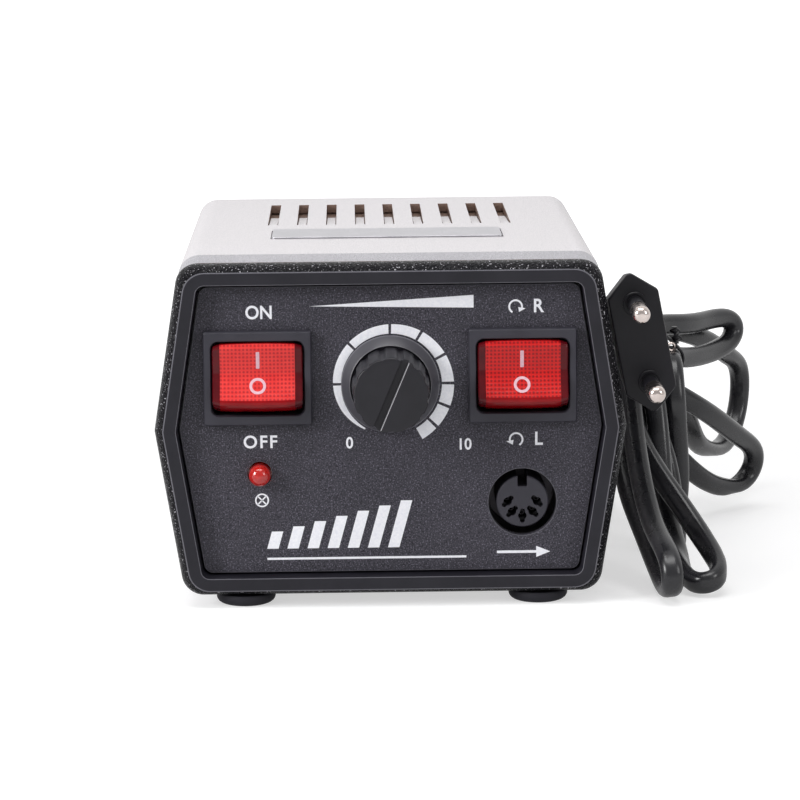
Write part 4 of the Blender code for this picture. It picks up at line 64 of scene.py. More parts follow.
def fillet(corners, radii, steps):
    """Outline through the corners with an arc at each that has a radius."""
    corners = [Vector(corner) for corner in corners]
    points = []
    for index, (here, radius) in enumerate(zip(corners, radii)):
        if radius == 0:
            points.append(here)
            continue
        before = (corners[index - 1] - here).normalized()
        after = (corners[(index + 1) % len(corners)] - here).normalized()
        half = before.angle(after) / 2
        middle = here + (before + after).normalized() * (radius / sin(half))
        start = here + before * (radius / tan(half)) - middle
        end = here + after * (radius / tan(half)) - middle
        sweep = start.angle_signed(end)
        points += [middle + Matrix.Rotation(-sweep * step / steps, 2) @ start for step in range(steps + 1)]
    return points


def inset(corners, amount):
    """Corners of a convex anticlockwise outline with every side moved inwards."""
    sides = []
    for start, end in zip(corners, corners[1:] + corners[:1]):
        along = (end - start).normalized()
        sides.append((start + Vector((-along.y, along.x)) * amount, along))
    moved = []
    for (point_a, along_a), (point_b, along_b) in zip(sides[-1:] + sides, sides):
        apart = point_b - point_a
        cross = along_a.x * along_b.y - along_a.y * along_b.x
        moved.append(point_a + along_a * ((apart.x * along_b.y - apart.y * along_b.x) / cross))
    return moved


def box_outline(width, height, radius, centre=(0, 0), steps=6):
    """Outline of a rectangle with round corners."""
    corners = [(centre[0] + x * width / 2, centre[1] + z * height / 2)
               for x, z in ((-1, -1), (1, -1), (1, 1), (-1, 1))]
    return fillet(corners, (radius,) * 4, steps)


def disc_outline(radius, steps, centre=(0, 0)):
    turns = [tau * step / steps for step in range(steps)]
    return [(centre[0] + radius * cos(a), centre[1] + radius * sin(a)) for a in turns]


def quarter(steps):
    """Cosine and sine at even steps over a quarter turn."""
    turns = [pi / 2 * step / steps for step in range(steps + 1)]
    return [(cos(a), sin(a)) for a in turns]


def ring(outline, depth):
    """Outline in X and Z as a ring of points at a depth."""
    return [at(point[0], depth, point[1]) for point in outline]


def skin(rings, loop=False, caps=True):
    """Faces between rings of equal count, or from a ring to a single point."""
    shape = bmesh.new()
    rows = [[shape.verts.new(point) for point in points] for points in rings]
    for row_a, row_b in zip(rows, rows[1:] + rows[:1] if loop else rows[1:]):
        for i in range(max(len(row_a), len(row_b))):
            corners = [row[j % len(row)] for row, j in
                       ((row_a, i), (row_a, i + 1), (row_b, i + 1), (row_b, i))]
            shape.faces.new(list(dict.fromkeys(corners)))
    if caps and not loop:
        shape.faces.new(rows[0])
        shape.faces.new(rows[-1][::-1])
    return shape


def prism(outline, depth_front, depth_back):
    return skin([ring(outline, depth_front), ring(outline, depth_back)])


def lathe(profile, place=Matrix(), steps=64):
    """Solid of revolution about the local Z axis from (radius, height) pairs."""
    return skin([[place @ Vector((x, y, height))
                  for x, y in disc_outline(radius, steps if radius > 0 else 1)]
                 for radius, height in profile], caps=False)


def block(low, high, place=Matrix()):
    """Box between two corners of (x, y, z)."""
    return skin([[place @ Vector((x, y, z)) for x, y in
                  ((low[0], low[1]), (high[0], low[1]), (high[0], high[1]), (low[0], high[1]))]
                 for z in (low[2], high[2])])


def tinted(shape, index):
    """The same shape with another of its piece's materials."""
    for face in shape.faces:
        face.material_index = index
    return shape


def merge(*shapes):
    """Several meshes as one."""
    whole = bmesh.new()
    for shape in shapes:
        mesh = mesh_of("part", shape)
        whole.from_mesh(mesh)
        bpy.data.meshes.remove(mesh)
    return whole


def facing(direction, position):
    """Placement with the local Z axis in a direction."""
    return Matrix.Translation(position) @ Vector(direction).to_track_quat("Z", "Y").to_matrix().to_4x4()


def with_values(item, **values):
    """The same item with some of its properties set."""
    for name, value in values.items():
        setattr(item, name, value)
    return item


def mesh_of(name, shape):
    bmesh.ops.recalc_face_normals(shape, faces=shape.faces)
    mesh = bpy.data.meshes.new(name)
    shape.to_mesh(mesh)
    shape.free()
    return mesh


def in_scene(name, data):
    """New object of the scene."""
    thing = bpy.data.objects.new(name, data)
    bpy.context.scene.collection.objects.link(thing)
    return thing


def object_of(name, shape, surfaces):
    """New object from a shape in millimetres."""
    shape.transform(Matrix.Scale(MM, 4))
    mesh = mesh_of(name, shape)
    for surface in surfaces:
        mesh.materials.append(surface)
    return in_scene(name, mesh)


def final_mesh(thing):
    """Mesh of an object after its modifiers."""
    bpy.context.view_layer.update()
    return bpy.data.meshes.new_from_object(thing.evaluated_get(bpy.context.evaluated_depsgraph_get()))


def bake(thing):
    """Put the result of the modifiers into the mesh."""
    old = thing.data
    thing.data = final_mesh(thing)
    thing.modifiers.clear()
    bpy.data.meshes.remove(old)
    thing.data.name = thing.name


def piece(name, shape, surfaces, body="case", node=None, cut=(), bevel=0, segments=2, limit=30,
          paint=None, sharp=35, edge=None):
    """Piece that rides on a body and stands for a node, with cuts taken out and its edges rounded.

    Its edges get a material of their own if asked, which paints a highlight along them, and then their bevel
    isn't clamped, because the short sides of the corner arcs would clamp it to nothing.
    """
    if not isinstance(surfaces, tuple):
        surfaces = (surfaces,)
    if paint is not None:
        bmesh.ops.recalc_face_normals(shape, faces=shape.faces)
        for face in shape.faces:
            face.material_index = paint(face.calc_center_median(), face.normal)
    thing = object_of(name, shape, surfaces)
    tools = [object_of("cut", tool_shape, surfaces) for tool_shape in cut]
    for tool in tools:
        with_values(thing.modifiers.new("cut", "BOOLEAN"), operation="DIFFERENCE", solver="EXACT",
                    object=tool)
    if tools:
        bake(thing)
    for tool in tools:
        bpy.data.objects.remove(tool)
    thing.data.shade_smooth()
    if bevel > 0:
        with_values(thing.modifiers.new("bevel", "BEVEL"), width=bevel * MM, segments=segments,
                    limit_method="ANGLE", angle_limit=radians(limit), use_clamp_overlap=edge is None,
                    material=-1 if edge is None else edge)
        bake(thing)
        thing.data.shade_smooth()
    thing.data.set_sharp_from_angle(angle=radians(sharp))
    with_values(thing.modifiers.new("normals", "WEIGHTED_NORMAL"), keep_sharp=True, weight=80)
    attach(thing, body)
    if node:
        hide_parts(node)
    return thing


def dressed(node, surface, bevel, body="case"):
    """Copy of a CAD node with welded points and rounded edges, standing for it."""
    shape = bmesh.new()
    shape.from_mesh(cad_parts[node].data)
    bmesh.ops.remove_doubles(shape, verts=shape.verts, dist=0.00001)
    bmesh.ops.dissolve_limit(shape, angle_limit=radians(0.5), verts=shape.verts, edges=shape.edges)
    shape.transform(Matrix.Scale(1 / MM, 4))
    piece("visual_" + node, tinted(shape, 0), surface, body, node, bevel=bevel)


# ---------------------------------------------------------------- materials

def linear(colour, share=1):
    """Linear colour of an 8-bit one, or a darker share of it."""
    return tuple(share * (value / 255 / 12.92 if value < 10.3 else ((value / 255 + 0.055) / 1.055) ** 2.4)
                 for value in colour) + (1,)


def feed(node, inputs):
    """Set inputs of a shader node, each to a constant or to the output that it comes from."""
    for socket, value in dict(inputs).items():
        if isinstance(value, bpy.types.NodeSocket):
            node.id_data.links.new(value, node.inputs[socket])
        else:
            node.inputs[socket].default_value = value
    return node


def new_node(tree, kind, inputs=(), **settings):
    return feed(with_values(tree.nodes.new("ShaderNode" + kind), **settings), inputs)


class Surface:
    """Principled material whose colour and roughness wander with noise, and that has bumps.

    Colours are given as 8-bit ones.
    """

    def __init__(self, name, dark, light, size, roughness, spread=0.05, **sockets):
        dark, light = linear(dark), linear(light)
        self.material = bpy.data.materials.new(name)
        self.material.use_nodes = True
        self.tree = self.material.node_tree
        self.shader = self.tree.nodes["Principled BSDF"]
        self.place = self.node("TexCoord").outputs["Object"]
        self.height = None
        noise = self.noise(size, 4, 0.6)
        self.colour = self.mix(noise, dark, light)
        feed(self.shader, {"Base Color": self.colour,
                           "Roughness": self.ranged(noise, roughness - spread, roughness + spread)})
        feed(self.shader, {socket.replace("_", " "): value for socket, value in sockets.items()})
        self.material.diffuse_color = tuple(a * 0.5 + b * 0.5 for a, b in zip(dark, light))

    def node(self, kind, inputs=(), **settings):
        return new_node(self.tree, kind, inputs, **settings)

    def noise(self, size, detail, rough=0.5, stretch=None):
        """Noise with features of a size in millimetres, drawn out along an axis if asked."""
        place = self.place
        if stretch is not None:
            place = self.node("Mapping", {"Scale": stretch, "Vector": place}).outputs["Vector"]
        return self.node("TexNoise", {"Scale": 1 / (size * MM), "Detail": detail, "Roughness": rough,
                                      "Vector": place}).outputs["Fac"]

    def cells(self, size, feature="F1"):
        return self.node("TexVoronoi", {"Scale": 1 / (size * MM), "Vector": self.place},
                         feature=feature).outputs["Distance"]

    def ranged(self, value, low, high, start=0.3, end=0.7):
        return self.node("MapRange", {"Value": value, "From Min": start, "From Max": end, "To Min": low,
                                      "To Max": high}).outputs["Result"]

    def mix(self, factor, colour_a, colour_b, start=0.3, end=0.7):
        share = self.ranged(factor, 0, 1, start, end)
        return self.node("Mix", {0: share, 6: colour_a, 7: colour_b}, data_type="RGBA").outputs[2]

    def math(self, operation, *values):
        return self.node("Math", enumerate(values), operation=operation).outputs[0]

    def recolour(self, factor, colour, start, end, share=1):
        """Lay another colour over the first where a value is high."""
        self.colour = self.mix(factor, self.colour, linear(colour, share), start, end)
        feed(self.shader, {"Base Color": self.colour})
        return self

    def bump(self, value, height, strength=1):
        """Add bumps of a height in millimetres."""
        under = {} if self.height is None else {"Normal": self.height}
        self.height = self.node("Bump", {"Distance": height * MM, "Strength": strength, "Height": value,
                                         **under}).outputs["Normal"]
        feed(self.shader, {"Normal": self.height})
        return self


def make_silver(name, dark, light, flake, relief=0.02):
    """Silver-white paint with fine metal flakes under a thin clear coat."""
    made = Surface(name, dark, light, 14, 0.42, Metallic=0.12, Coat_Weight=0.15, Coat_Roughness=0.25)
    flakes = made.cells(0.22)
    made.recolour(flakes, flake, 0.36, 0.62)
    return made.bump(flakes, 0.012, 0.35).bump(made.noise(0.6, 2), relief, 0.25 + relief * 4).material


def make_grain():
    """Dark moulded plastic with a leather grain, and pale specks painted on as glints."""
    made = Surface("grained_plastic_with_glints", (11, 11, 15), (19, 18, 23), 6, 0.24, 0.03, Specular_IOR_Level=0.12)
    creases = made.cells(0.85, "DISTANCE_TO_EDGE")
    # Pale specks where the noise is high: painted glints of the lamps on the grain.
    made.recolour(made.noise(0.45, 1, 0.5), (190, 188, 194), 0.64, 0.77)
    made.bump(made.ranged(creases, 0, 1, 0, 0.25), 0.16)
    return made.bump(made.noise(0.5, 2, 0.6), 0.12).material


def make_plain(name, dark, light, cloud, roughness, spread, *bumps, **sockets):
    """Material with a faint cloud in its colour and fine bumps of (size, detail, rough, height, strength)."""
    made = Surface(name, dark, light, cloud, roughness, spread, **sockets)
    for size, detail, rough, height, strength in bumps:
        made.bump(made.noise(size, detail, rough), height, strength)
    return made.material


def make_black(name, level, roughness, grain, height, tint, gloss=0.5):
    """Dark plastic of a grey level, a little blue."""
    return make_plain(name, (level - 5, level - 6, level - 5 + tint),
                      (level + 5, level + 4, level + 5 + tint), 9, roughness, 0.04,
                      (grain, 3, 0.55, height, 0.5), Specular_IOR_Level=gloss)


def make_panel():
    """Dark sandy paint of the front panel, with painted shade in its pits and painted highlights on its
    grains.
    """
    made = Surface("panel_paint", (52, 51, 58), (60, 58, 66), 11, 0.50, Specular_IOR_Level=0.3)
    sand = made.noise(0.32, 1, 0.5)
    # Darker speckle: painted shade standing for the pits between the sand grains.
    made.recolour(made.noise(0.45, 2, 0.6), (30, 29, 36), 0.50, 0.68)
    # Lighter where the sand bumps rise: painted highlight on the grain tops.
    made.recolour(sand, (118, 114, 128), 0.53, 0.78)
    return made.bump(sand, 0.08, 0.7).bump(made.noise(1.6, 2), 0.03, 0.3).material


def make_metal(name, dark, light, roughness, stretch=None, size=0.4, height=0.004):
    made = Surface(name, dark, light, 5, roughness, Metallic=1)
    lines = made.noise(size, 4, 0.65, stretch)
    return made.bump(lines, height, 0.5).recolour(lines, dark, 0.55, 0.85).material


def make_lens(name, dark, light, dots):
    """Red translucent rocker with rows of small prisms moulded under its face."""
    pitch = 0.86 * MM
    made = Surface(name, dark, light, 4, 0.3, 0.03, Coat_Weight=0.12, Coat_Roughness=0.12,
                   Specular_IOR_Level=0.3)
    split = made.node("SeparateXYZ", {"Vector": made.place})
    reach = []
    for axis in ("X", "Z"):
        cell = made.math("FRACT", made.math("MULTIPLY", split.outputs[axis], 1 / pitch))
        side = made.math("SUBTRACT", cell, 0.5)
        reach.append(made.math("MULTIPLY", side, side))
    dot = made.math("SUBTRACT", 0.5, made.math("SQRT", made.math("ADD", *reach)))
    return made.recolour(dot, dots, 0.06, 0.38).bump(dot, 0.2, 0.5).material


def make_plain_lens(name, dark, light):
    """The same red plastic without the prisms, in darker copies as painted shade at the ends and sides of a
    rocker.
    """
    return make_plain(name, dark, light, 4, 0.2, 0.03, (0.8, 2, 0.5, 0.01, 0.4),
                      Coat_Weight=0.12, Coat_Roughness=0.08, Specular_IOR_Level=0.2)


def make_print(name, dark, light):
    """Pale ink, a little uneven."""
    return make_plain(name, dark, light, 0.5, 0.5, 0.06, (0.2, 2, 0.5, 0.01, 0.5))


def make_board():
    made = Surface("board_green", (18, 78, 40), (30, 100, 54), 3, 0.4)
    made.recolour(made.noise(1.6, 1), (60, 128, 74), 0.56, 0.60)
    return made.bump(made.noise(0.4, 2), 0.02, 0.4).material


def make_layers(name, dark, light, size, stretch, roughness, metallic=0):
    """Stacked sheets or wound tape: fine lines across one axis."""
    made = Surface(name, dark, light, 8, roughness, Metallic=metallic)
    lines = made.noise(size, 2, 0.7, stretch)
    made.recolour(lines, dark, 0.5, 0.62, 0.55)
    return made.bump(lines, 0.08, 0.6).material


silver = make_silver("silver_paint", (219, 214, 216), (229, 224, 227), (190, 187, 190))
inner_paint = make_silver("inner_paint", (132, 108, 96), (156, 132, 120), (120, 98, 88))
grain = make_grain()
# Greyer silver for the cover's front lip: painted shade of the lip's slope, which is turned from the top
# light.
lip_shaded_silver = make_silver("lip_shade_paint", (176, 174, 180), (200, 198, 203), (138, 136, 142), 0.06)
rim_black = make_black("rim_plastic", 30, 0.36, 0.45, 0.008, 6, 0.32)
# Pale plastic for rounded edges: painted highlight along the bezel's bevels and the knob's skirt rim.
painted_edge_highlight = make_black("painted_edge_highlight", 98, 0.30, 0.45, 0.008, 6)
panel_paint = make_panel()
# Paler plastic for the panel's bevels: painted highlight on its outline and on the chamfers of its holes.
panel_edge_highlight = make_black("panel_edge_highlight", 84, 0.35, 0.45, 0.008, 6)
frame_black = make_black("frame_plastic", 52, 0.40, 0.3, 0.030, 7, 0.35)
knob_black = make_black("knob_plastic", 26, 0.40, 0.35, 0.010, 5, 0.4)
# Lighter copy of the knob plastic for the skirt cone: painted sheen of the left lamp.
skirt_painted_sheen = make_black("skirt_painted_sheen", 62, 0.40, 0.35, 0.010, 6, 1)
# Pale grey for the knob groove's right slope: painted highlight where the left lamp catches it.
knob_highlight_line = make_black("knob_highlight_line", 150, 0.40, 0.35, 0.010, 3)
plug_black = make_black("plug_vinyl", 20, 0.40, 0.4, 0.020, 4, 0.3)
rubber = make_black("foot_rubber", 34, 0.62, 0.4, 0.030, 6, 0.3)
rear_black = make_black("rear_plastic", 38, 0.46, 0.5, 0.020, 3, 0.35)
insert_black = make_black("insert_plastic", 56, 0.42, 0.4, 0.010, 6, 0.3)
inner_black = make_black("inner_plastic", 30, 0.5, 0.6, 0.020, 2, 0.3)
# The power rocker's red is lighter and pinker than the direction rocker's: painted sheen of the left lamp.
lens_left_sheen = make_lens("red_lens_power_sheen", (216, 46, 45), (226, 60, 56), (166, 30, 36))
lens_right = make_lens("red_lens_direction", (190, 18, 20), (206, 28, 26), (124, 8, 16))
# Darker copies of the rocker red: painted shade on its round ends, deeper on its sides; the selector slider
# takes the darkest as its own colour.
lens_end_shade = make_plain_lens("red_end_shade", (122, 2, 10), (146, 6, 14))
dark_red_and_shade = make_plain_lens("red_side_and_shade", (70, 6, 14), (92, 9, 18))
lamp_plastic = make_plain(
    "lamp_plastic", (196, 26, 22), (220, 44, 36), 2, 0.08, 0.02, (0.9, 2, 0.5, 0.005, 0.3),
    Transmission_Weight=0.25, IOR=1.5, Coat_Weight=0.6, Coat_Roughness=0.03, Subsurface_Weight=0.15,
    Subsurface_Scale=0.002)
ink = make_print("white_ink", (234, 235, 243), (250, 250, 254))
vinyl = make_plain(
    "cable_vinyl", (23, 23, 26), (31, 31, 35), 6, 0.27, 0.05, (0.35, 3, 0.5, 0.008, 0.4),
    (6, 2, 0.5, 0.05, 0.2), Specular_IOR_Level=0.6)
rocker_ink = make_print("rocker_ink", (208, 166, 178), (222, 182, 192))
plate_metal = make_metal("plate_metal", (178, 177, 182), (200, 198, 203), 0.34, (1, 0.03, 1), 0.5)
nickel = make_metal("nickel", (206, 194, 188), (232, 220, 214), 0.20, None, 1.2, 0.006)
steel = make_metal("steel", (150, 149, 151), (186, 185, 187), 0.38)
# Dark metal: the socket shell's own colour, and painted shade on the contacts deep in their holes.
dark_metal_and_shade = make_metal("dark_metal_and_shade", (70, 68, 72), (96, 94, 98), 0.4)
alloy = make_metal("alloy", (168, 168, 172), (196, 196, 200), 0.36, (0.05, 1, 1), 0.4)
board_green = make_board()
laminations = make_layers("laminations", (96, 92, 90), (122, 118, 114), 0.5, (0.02, 1, 0.02), 0.5, 0.7)
winding_tape = make_layers("winding_tape", (186, 140, 48), (206, 164, 74), 1.4, (0.02, 0.02, 1), 0.45)
fuse_metal = make_metal("fuse_metal", (180, 182, 184), (206, 208, 210), 0.2)


# ---------------------------------------------------------------- camera, floor and light

def make_camera():
    """The place and lens of the photograph's camera."""
    data = with_values(bpy.data.cameras.new("camera"), lens=153, sensor_width=36, clip_start=0.01,
                       clip_end=50)
    camera = in_scene("camera", data)
    place = Matrix.Translation(Vector((-8.823, -818.019, 176.063)) * MM)
    for degrees, axis in ((-0.8274, "Z"), (80.395, "X"), (-0.554, "Z")):
        place = place @ Matrix.Rotation(radians(degrees), 4, axis)
    camera.matrix_world = place
    bpy.context.scene.camera = camera


def light_path_sum(tree, glossy):
    """One for camera and transmission rays, and a share of one for glossy rays."""
    path = new_node(tree, "LightPath").outputs
    total = new_node(tree, "Math", {0: path["Is Glossy Ray"], 1: glossy}, operation="MULTIPLY")
    for name in ("Is Camera Ray", "Is Transmission Ray"):
        total = new_node(tree, "Math", {0: total.outputs[0], 1: path[name]}, operation="MAXIMUM")
    return total.outputs[0]


def make_world():
    """Even pale light; what the camera, metal and glass see of it is white."""
    world = bpy.data.worlds.new("world")
    world.use_nodes = True
    bpy.context.scene.world = world
    tree = world.node_tree
    tree.nodes.clear()
    soft, white = [new_node(tree, "Background", {"Color": WHITE, "Strength": strength}).outputs[0]
                   for strength in (0.42, 1)]
    direction = new_node(tree, "SeparateXYZ", {0: new_node(tree, "TexCoord").outputs["Generated"]})
    behind = new_node(tree, "MapRange", {"Value": direction.outputs["Y"], "From Min": -0.3,
                                         "From Max": 0.85}).outputs["Result"]
    mix = new_node(tree, "MixShader", {0: light_path_sum(tree, behind), 1: soft, 2: white})
    new_node(tree, "OutputWorld", {"Surface": mix.outputs[0]})


def make_floor():
    """White floor that keeps the shadow; what the camera sees of it is lifted to white."""
    shape = bmesh.new()
    bmesh.ops.create_grid(shape, x_segments=8, y_segments=8, size=6000)
    made = Surface("floor_white", (190, 190, 191), (194, 194, 195), 400, 0.8, 0.02,
                   Specular_IOR_Level=0.1)
    reach = made.node("VectorMath", {0: made.place}, operation="LENGTH").outputs["Value"]
    strength = made.ranged(reach, 0.55, 1, 0.20, 0.60)
    seen = made.math("MULTIPLY", light_path_sum(made.tree, 0.5), strength)
    lift = made.node("Emission", {"Color": WHITE, "Strength": seen})
    both = made.node("AddShader", {0: made.shader.outputs[0], 1: lift.outputs[0]})
    feed(made.tree.nodes["Material Output"], {"Surface": both.outputs[0]})
    object_of("floor", shape, (made.material,))


def make_lights():
    """Soft box to the left, a weaker one to the right and one above, aimed at the middle of the case."""
    middle = Vector((0, -0.03, 0.04))
    for name, place, size, power in (("box_left", (-0.80, -0.50, 0.44), (0.28, 0.40), 6.4),
                                     ("box_right", (0.70, -0.62, 0.44), (0.24, 0.40), 1.7),
                                     ("top", (-0.05, -0.24, 0.84), (0.70, 0.42), 4.05)):
        data = with_values(bpy.data.lights.new(name, "AREA"), shape="RECTANGLE", size=size[0], size_y=size[1],
                           energy=power)
        towards = (middle - Vector(place)).to_track_quat("-Z", "Y").to_matrix().to_4x4()
        in_scene(name, data).matrix_world = Matrix.Translation(place) @ towards


make_camera()
make_world()
make_floor()
make_lights()
bpy.context.scene.view_settings.view_transform = "Standard"


# ---------------------------------------------------------------- mains lead

CORD_WIDTH = 5.2
CORD_THICKNESS = 3.6
CORD_SINK = 0.3
RUN_SPREAD = 57.3
RUN_RISE = 40.4
RUN_PITCH = 6
RUN_FRONT = 60
RUN_BACK = 72
RUN_PLACES = ((0, 0), (0, 2), (1, 1), (0, 1), (1, 0), (2, 1), (1, 2))
RELIEF_X, RELIEF_Z = 33, 20
RELIEF_TIP = 148.8
PLUG_X, PLUG_Z = 57.7, 58.9
PLUG_FACE = 9
PLUG_LEAN = radians(-10.9)
PLUG_TAIL = 34
CORD_TAIL = (
    (33, 156, 20), (35, 166, 15), (41, 172, 7.5), (49, 169, 3.3), (55, 158, 2.9),
    (57, 142, 2.9), (57, 124, 3.3), (56.6, 110, 8), (56.4, 96, 19), (56.6, 82, 33),
)
CORD_FOLDS = (
    (((56.9, 54.5, 35), (56.7, 42, 21), (60, 26, 10.5), (62.5, 12, 4)),
     ((63.4, -0.2, 3), (63.8, -4.4, 7.1), (62.9, 0, 11.2)),
     ((60.4, 16, 16.6), (58.5, 30, 27.5), (58, 41, 37.5), (57.6, 47, 45), (57.4, 53, 50.9))),
    (((60, 83, 52.8), (67, 94, 50.5), (78, 104, 46.6), (86, 116, 41.6)),
     ((91, 126, 36.5), (94.6, 135, 26.5), (89.5, 126, 13.8)),
     ((81, 107, 17), (77, 95, 25), (73, 86.5, 33), (65.6, 79.8, 42.8))),
    (((63.1, 56, 45.5), (63.7, 51.5, 43), (64.8, 46, 31.5), (65.4, 38.5, 18.5), (67, 25, 8)),
     ((69.2, 8, 3), (72.6, 4.4, 3.6), (76, 8, 4.6)),
     ((73, 20, 10.5), (65.7, 32, 21), (61.8, 38, 26.6), (58.7, 46, 34.3), (57.6, 54.8, 44.4))),
    (((58.2, 79, 43.2), (62.3, 86.5, 34.5), (68.3, 88, 24), (76.5, 89.5, 14.5), (83, 96.5, 9)),
     ((89.5, 103.5, 6.6), (95.4, 108.5, 11.4), (92.5, 101.5, 18.4)),
     ((82.5, 86, 28), (76, 79.3, 33), (68.6, 76.6, 37.6))),
    (((63.6, 55.8, 37), (64.8, 53.6, 31.5), (67.3, 51.4, 23)),
     ((69.4, 50.2, 7.6), (69.9, 54.8, 2.75), (70.4, 59.4, 7.6)),
     ((71, 58.8, 18), (70.4, 57.2, 28), (69.7, 55.4, 38))),
    (((71, 77.5, 45), (78.5, 89.5, 43)),
     ((88.8, 105.5, 44.5), (90.4, 108.2, 47.5), (88.8, 105.5, 50.5)),
     ((82, 98, 50.9), (76, 88, 51.5), (68, 80, 52.6))),
)
CORD_HEAD = ((61.8, 55.4, 56.6),)


def run_points(index):
    """Straight run through the tie, to the front for the first and every second one."""
    column, row = RUN_PLACES[index]
    depths = (RUN_BACK, (RUN_BACK + RUN_FRONT) / 2, RUN_FRONT)[::-1 if index % 2 else 1]
    return [at(RUN_SPREAD + column * RUN_PITCH, depth, RUN_RISE + row * RUN_PITCH) for depth in depths]


def fold_points(fold):
    """Points out to a fold, half an ellipse round it, and the points back."""
    out, (start, tip, end), back = [[at(*point) for point in points] for points in fold]
    centre = (start + end) / 2
    turns = [pi * step / 4 for step in range(5)]
    return out + [centre + (start - centre) * cos(a) + (tip - centre) * sin(a) for a in turns] + back


def cord_route():
    route = [at(RELIEF_X, RELIEF_TIP + CORD_SINK, RELIEF_Z)] + [at(*point) for point in CORD_TAIL]
    for index, fold in enumerate(CORD_FOLDS):
        route += run_points(index) + fold_points(fold)
    route += run_points(len(CORD_FOLDS)) + [at(*point) for point in CORD_HEAD]
    end = at(PLUG_X, PLUG_FACE + PLUG_TAIL + CORD_SINK, PLUG_Z)
    return route + [end + Vector((0, CORD_WIDTH, 0)), end]


def smooth(route, step):
    """Evenly rounded curve through a route, in pieces no longer than the step."""
    ends = [route[0] * 2 - route[1]] + route + [route[-1] * 2 - route[-2]]
    points = []
    for group in zip(ends, ends[1:], ends[2:], ends[3:]):
        knots = [0]
        for a, b in zip(group, group[1:]):
            knots.append(knots[-1] + sqrt((b - a).length))
        pieces = max(1, ceil((group[2] - group[1]).length / step))
        for number in range(pieces):
            t = knots[1] + (knots[2] - knots[1]) * number / pieces
            level = group
            for spans in (((0, 1), (1, 2), (2, 3)), ((0, 2), (1, 3)), ((1, 2),)):
                level = [a.lerp(b, (t - knots[i]) / (knots[j] - knots[i]))
                         for a, b, (i, j) in zip(level, level[1:], spans)]
            points.append(level[0])
    points.append(route[-1])
    return points


def run_along(place):
    """Distance along a curve at each of its points."""
    return np.concatenate([[0], np.cumsum(np.linalg.norm(np.diff(place, axis=0), axis=1))])


def relaxed(points, reach):
    """Take small kinks out of a curve, as the stiffness of a cable does; ends and folds keep their reach."""
    place = np.array([tuple(point) for point in points])
    run = run_along(place)
    rows = []
    for i, here in enumerate(run):
        from_tie = abs(place[i, 1] - FRONT - (RUN_FRONT + RUN_BACK) / 2)
        width = reach * (0.45 + 0.55 * min(1, max(0, (from_tie - 8) / 14)))
        width = min(width, (here + 0.01) / 3, (run[-1] - here + 0.01) / 3)
        weight = np.exp(-0.5 * ((run - here) / width) ** 2)
        rows.append(weight / weight.sum())
    mean = np.array(rows)
    calm = mean @ place
    return [Vector(point) for point in 2 * calm - mean @ calm]


def width_axes(points, start_axis, end_axis, reach):
    """Direction of the flat cable's width along it: it turns about the axis that it bends round."""
    place = np.array([tuple(point) for point in points])
    along = np.gradient(place, axis=0)
    step = np.linalg.norm(along, axis=1)
    along /= step[:, None]
    run = run_along(place)
    axis = np.cross(along, np.gradient(along, axis=0) / step[:, None])
    size = np.linalg.norm(axis, axis=1)
    axis *= np.minimum(1, 0.05 / np.maximum(size, 1e-9))[:, None]
    broad = 0.09 * np.cross(along, BACK)
    fields = axis[:, :, None] * axis[:, None, :] + broad[:, :, None] * broad[:, None, :]
    for end, wanted in ((0, start_axis), (-1, end_axis)):
        near = np.exp(-((run - run[end]) / 7) ** 2)
        fields += near[:, None, None] * 0.05 * np.outer(wanted, wanted)[None]
    widths = [np.array(start_axis)]
    for here, tangent in zip(run, along):
        weight = np.exp(-0.5 * ((run - here) / reach) ** 2)
        level = np.eye(3) - np.outer(tangent, tangent)
        wide = np.linalg.eigh(level @ (fields * weight[:, None, None]).sum(0) @ level)[1][:, -1]
        widths.append(-wide if wide @ widths[-1] < 0 else wide)
    widths = np.array(widths[1:])
    for _ in range(20):
        mean = widths.copy()
        mean[1:-1] = widths[:-2] + 2 * widths[1:-1] + widths[2:]
        mean -= along * (mean * along).sum(1)[:, None]
        widths = mean / np.linalg.norm(mean, axis=1)[:, None]
    return along, widths


def flat_section():
    """Section of the flat cable: two round edges with flat sides between them, (across, up)."""
    radius = CORD_THICKNESS / 2
    half = CORD_WIDTH / 2 - radius
    turns = [(side, side * pi / 2 - pi * number / 7) for side in (1, -1) for number in range(8)]
    return [(side * half + radius * cos(a), radius * sin(a)) for side, a in turns]


def make_cord():
    """Flat twin cable along the route, with its ends inside the strain relief and the plug."""
    centre = relaxed(smooth(cord_route(), 1.2), 5.6)
    lean = Matrix.Rotation(PLUG_LEAN, 3, "Y") @ Vector((0, 0, 1))
    along, wide = width_axes(centre, (1, 0, 0), tuple(lean), 14)
    rings = []
    for number, point in enumerate(centre):
        across = Vector(wide[number])
        up = Vector(along[number]).cross(across)
        rings.append([point + across * a + up * b for a, b in flat_section()])
    rings.insert(0, [point - Vector(along[0]) * 1.6 for point in rings[0]])
    rings.append([point + Vector(along[-1]) * 1.6 for point in rings[-1]])
    cord = piece("mains_lead_cable", skin(rings), vinyl, node="mains_lead", sharp=60)
    return cord, [tuple(point * MM) for point in centre]


cord, cord_path = make_cord()


# ---------------------------------------------------------------- case

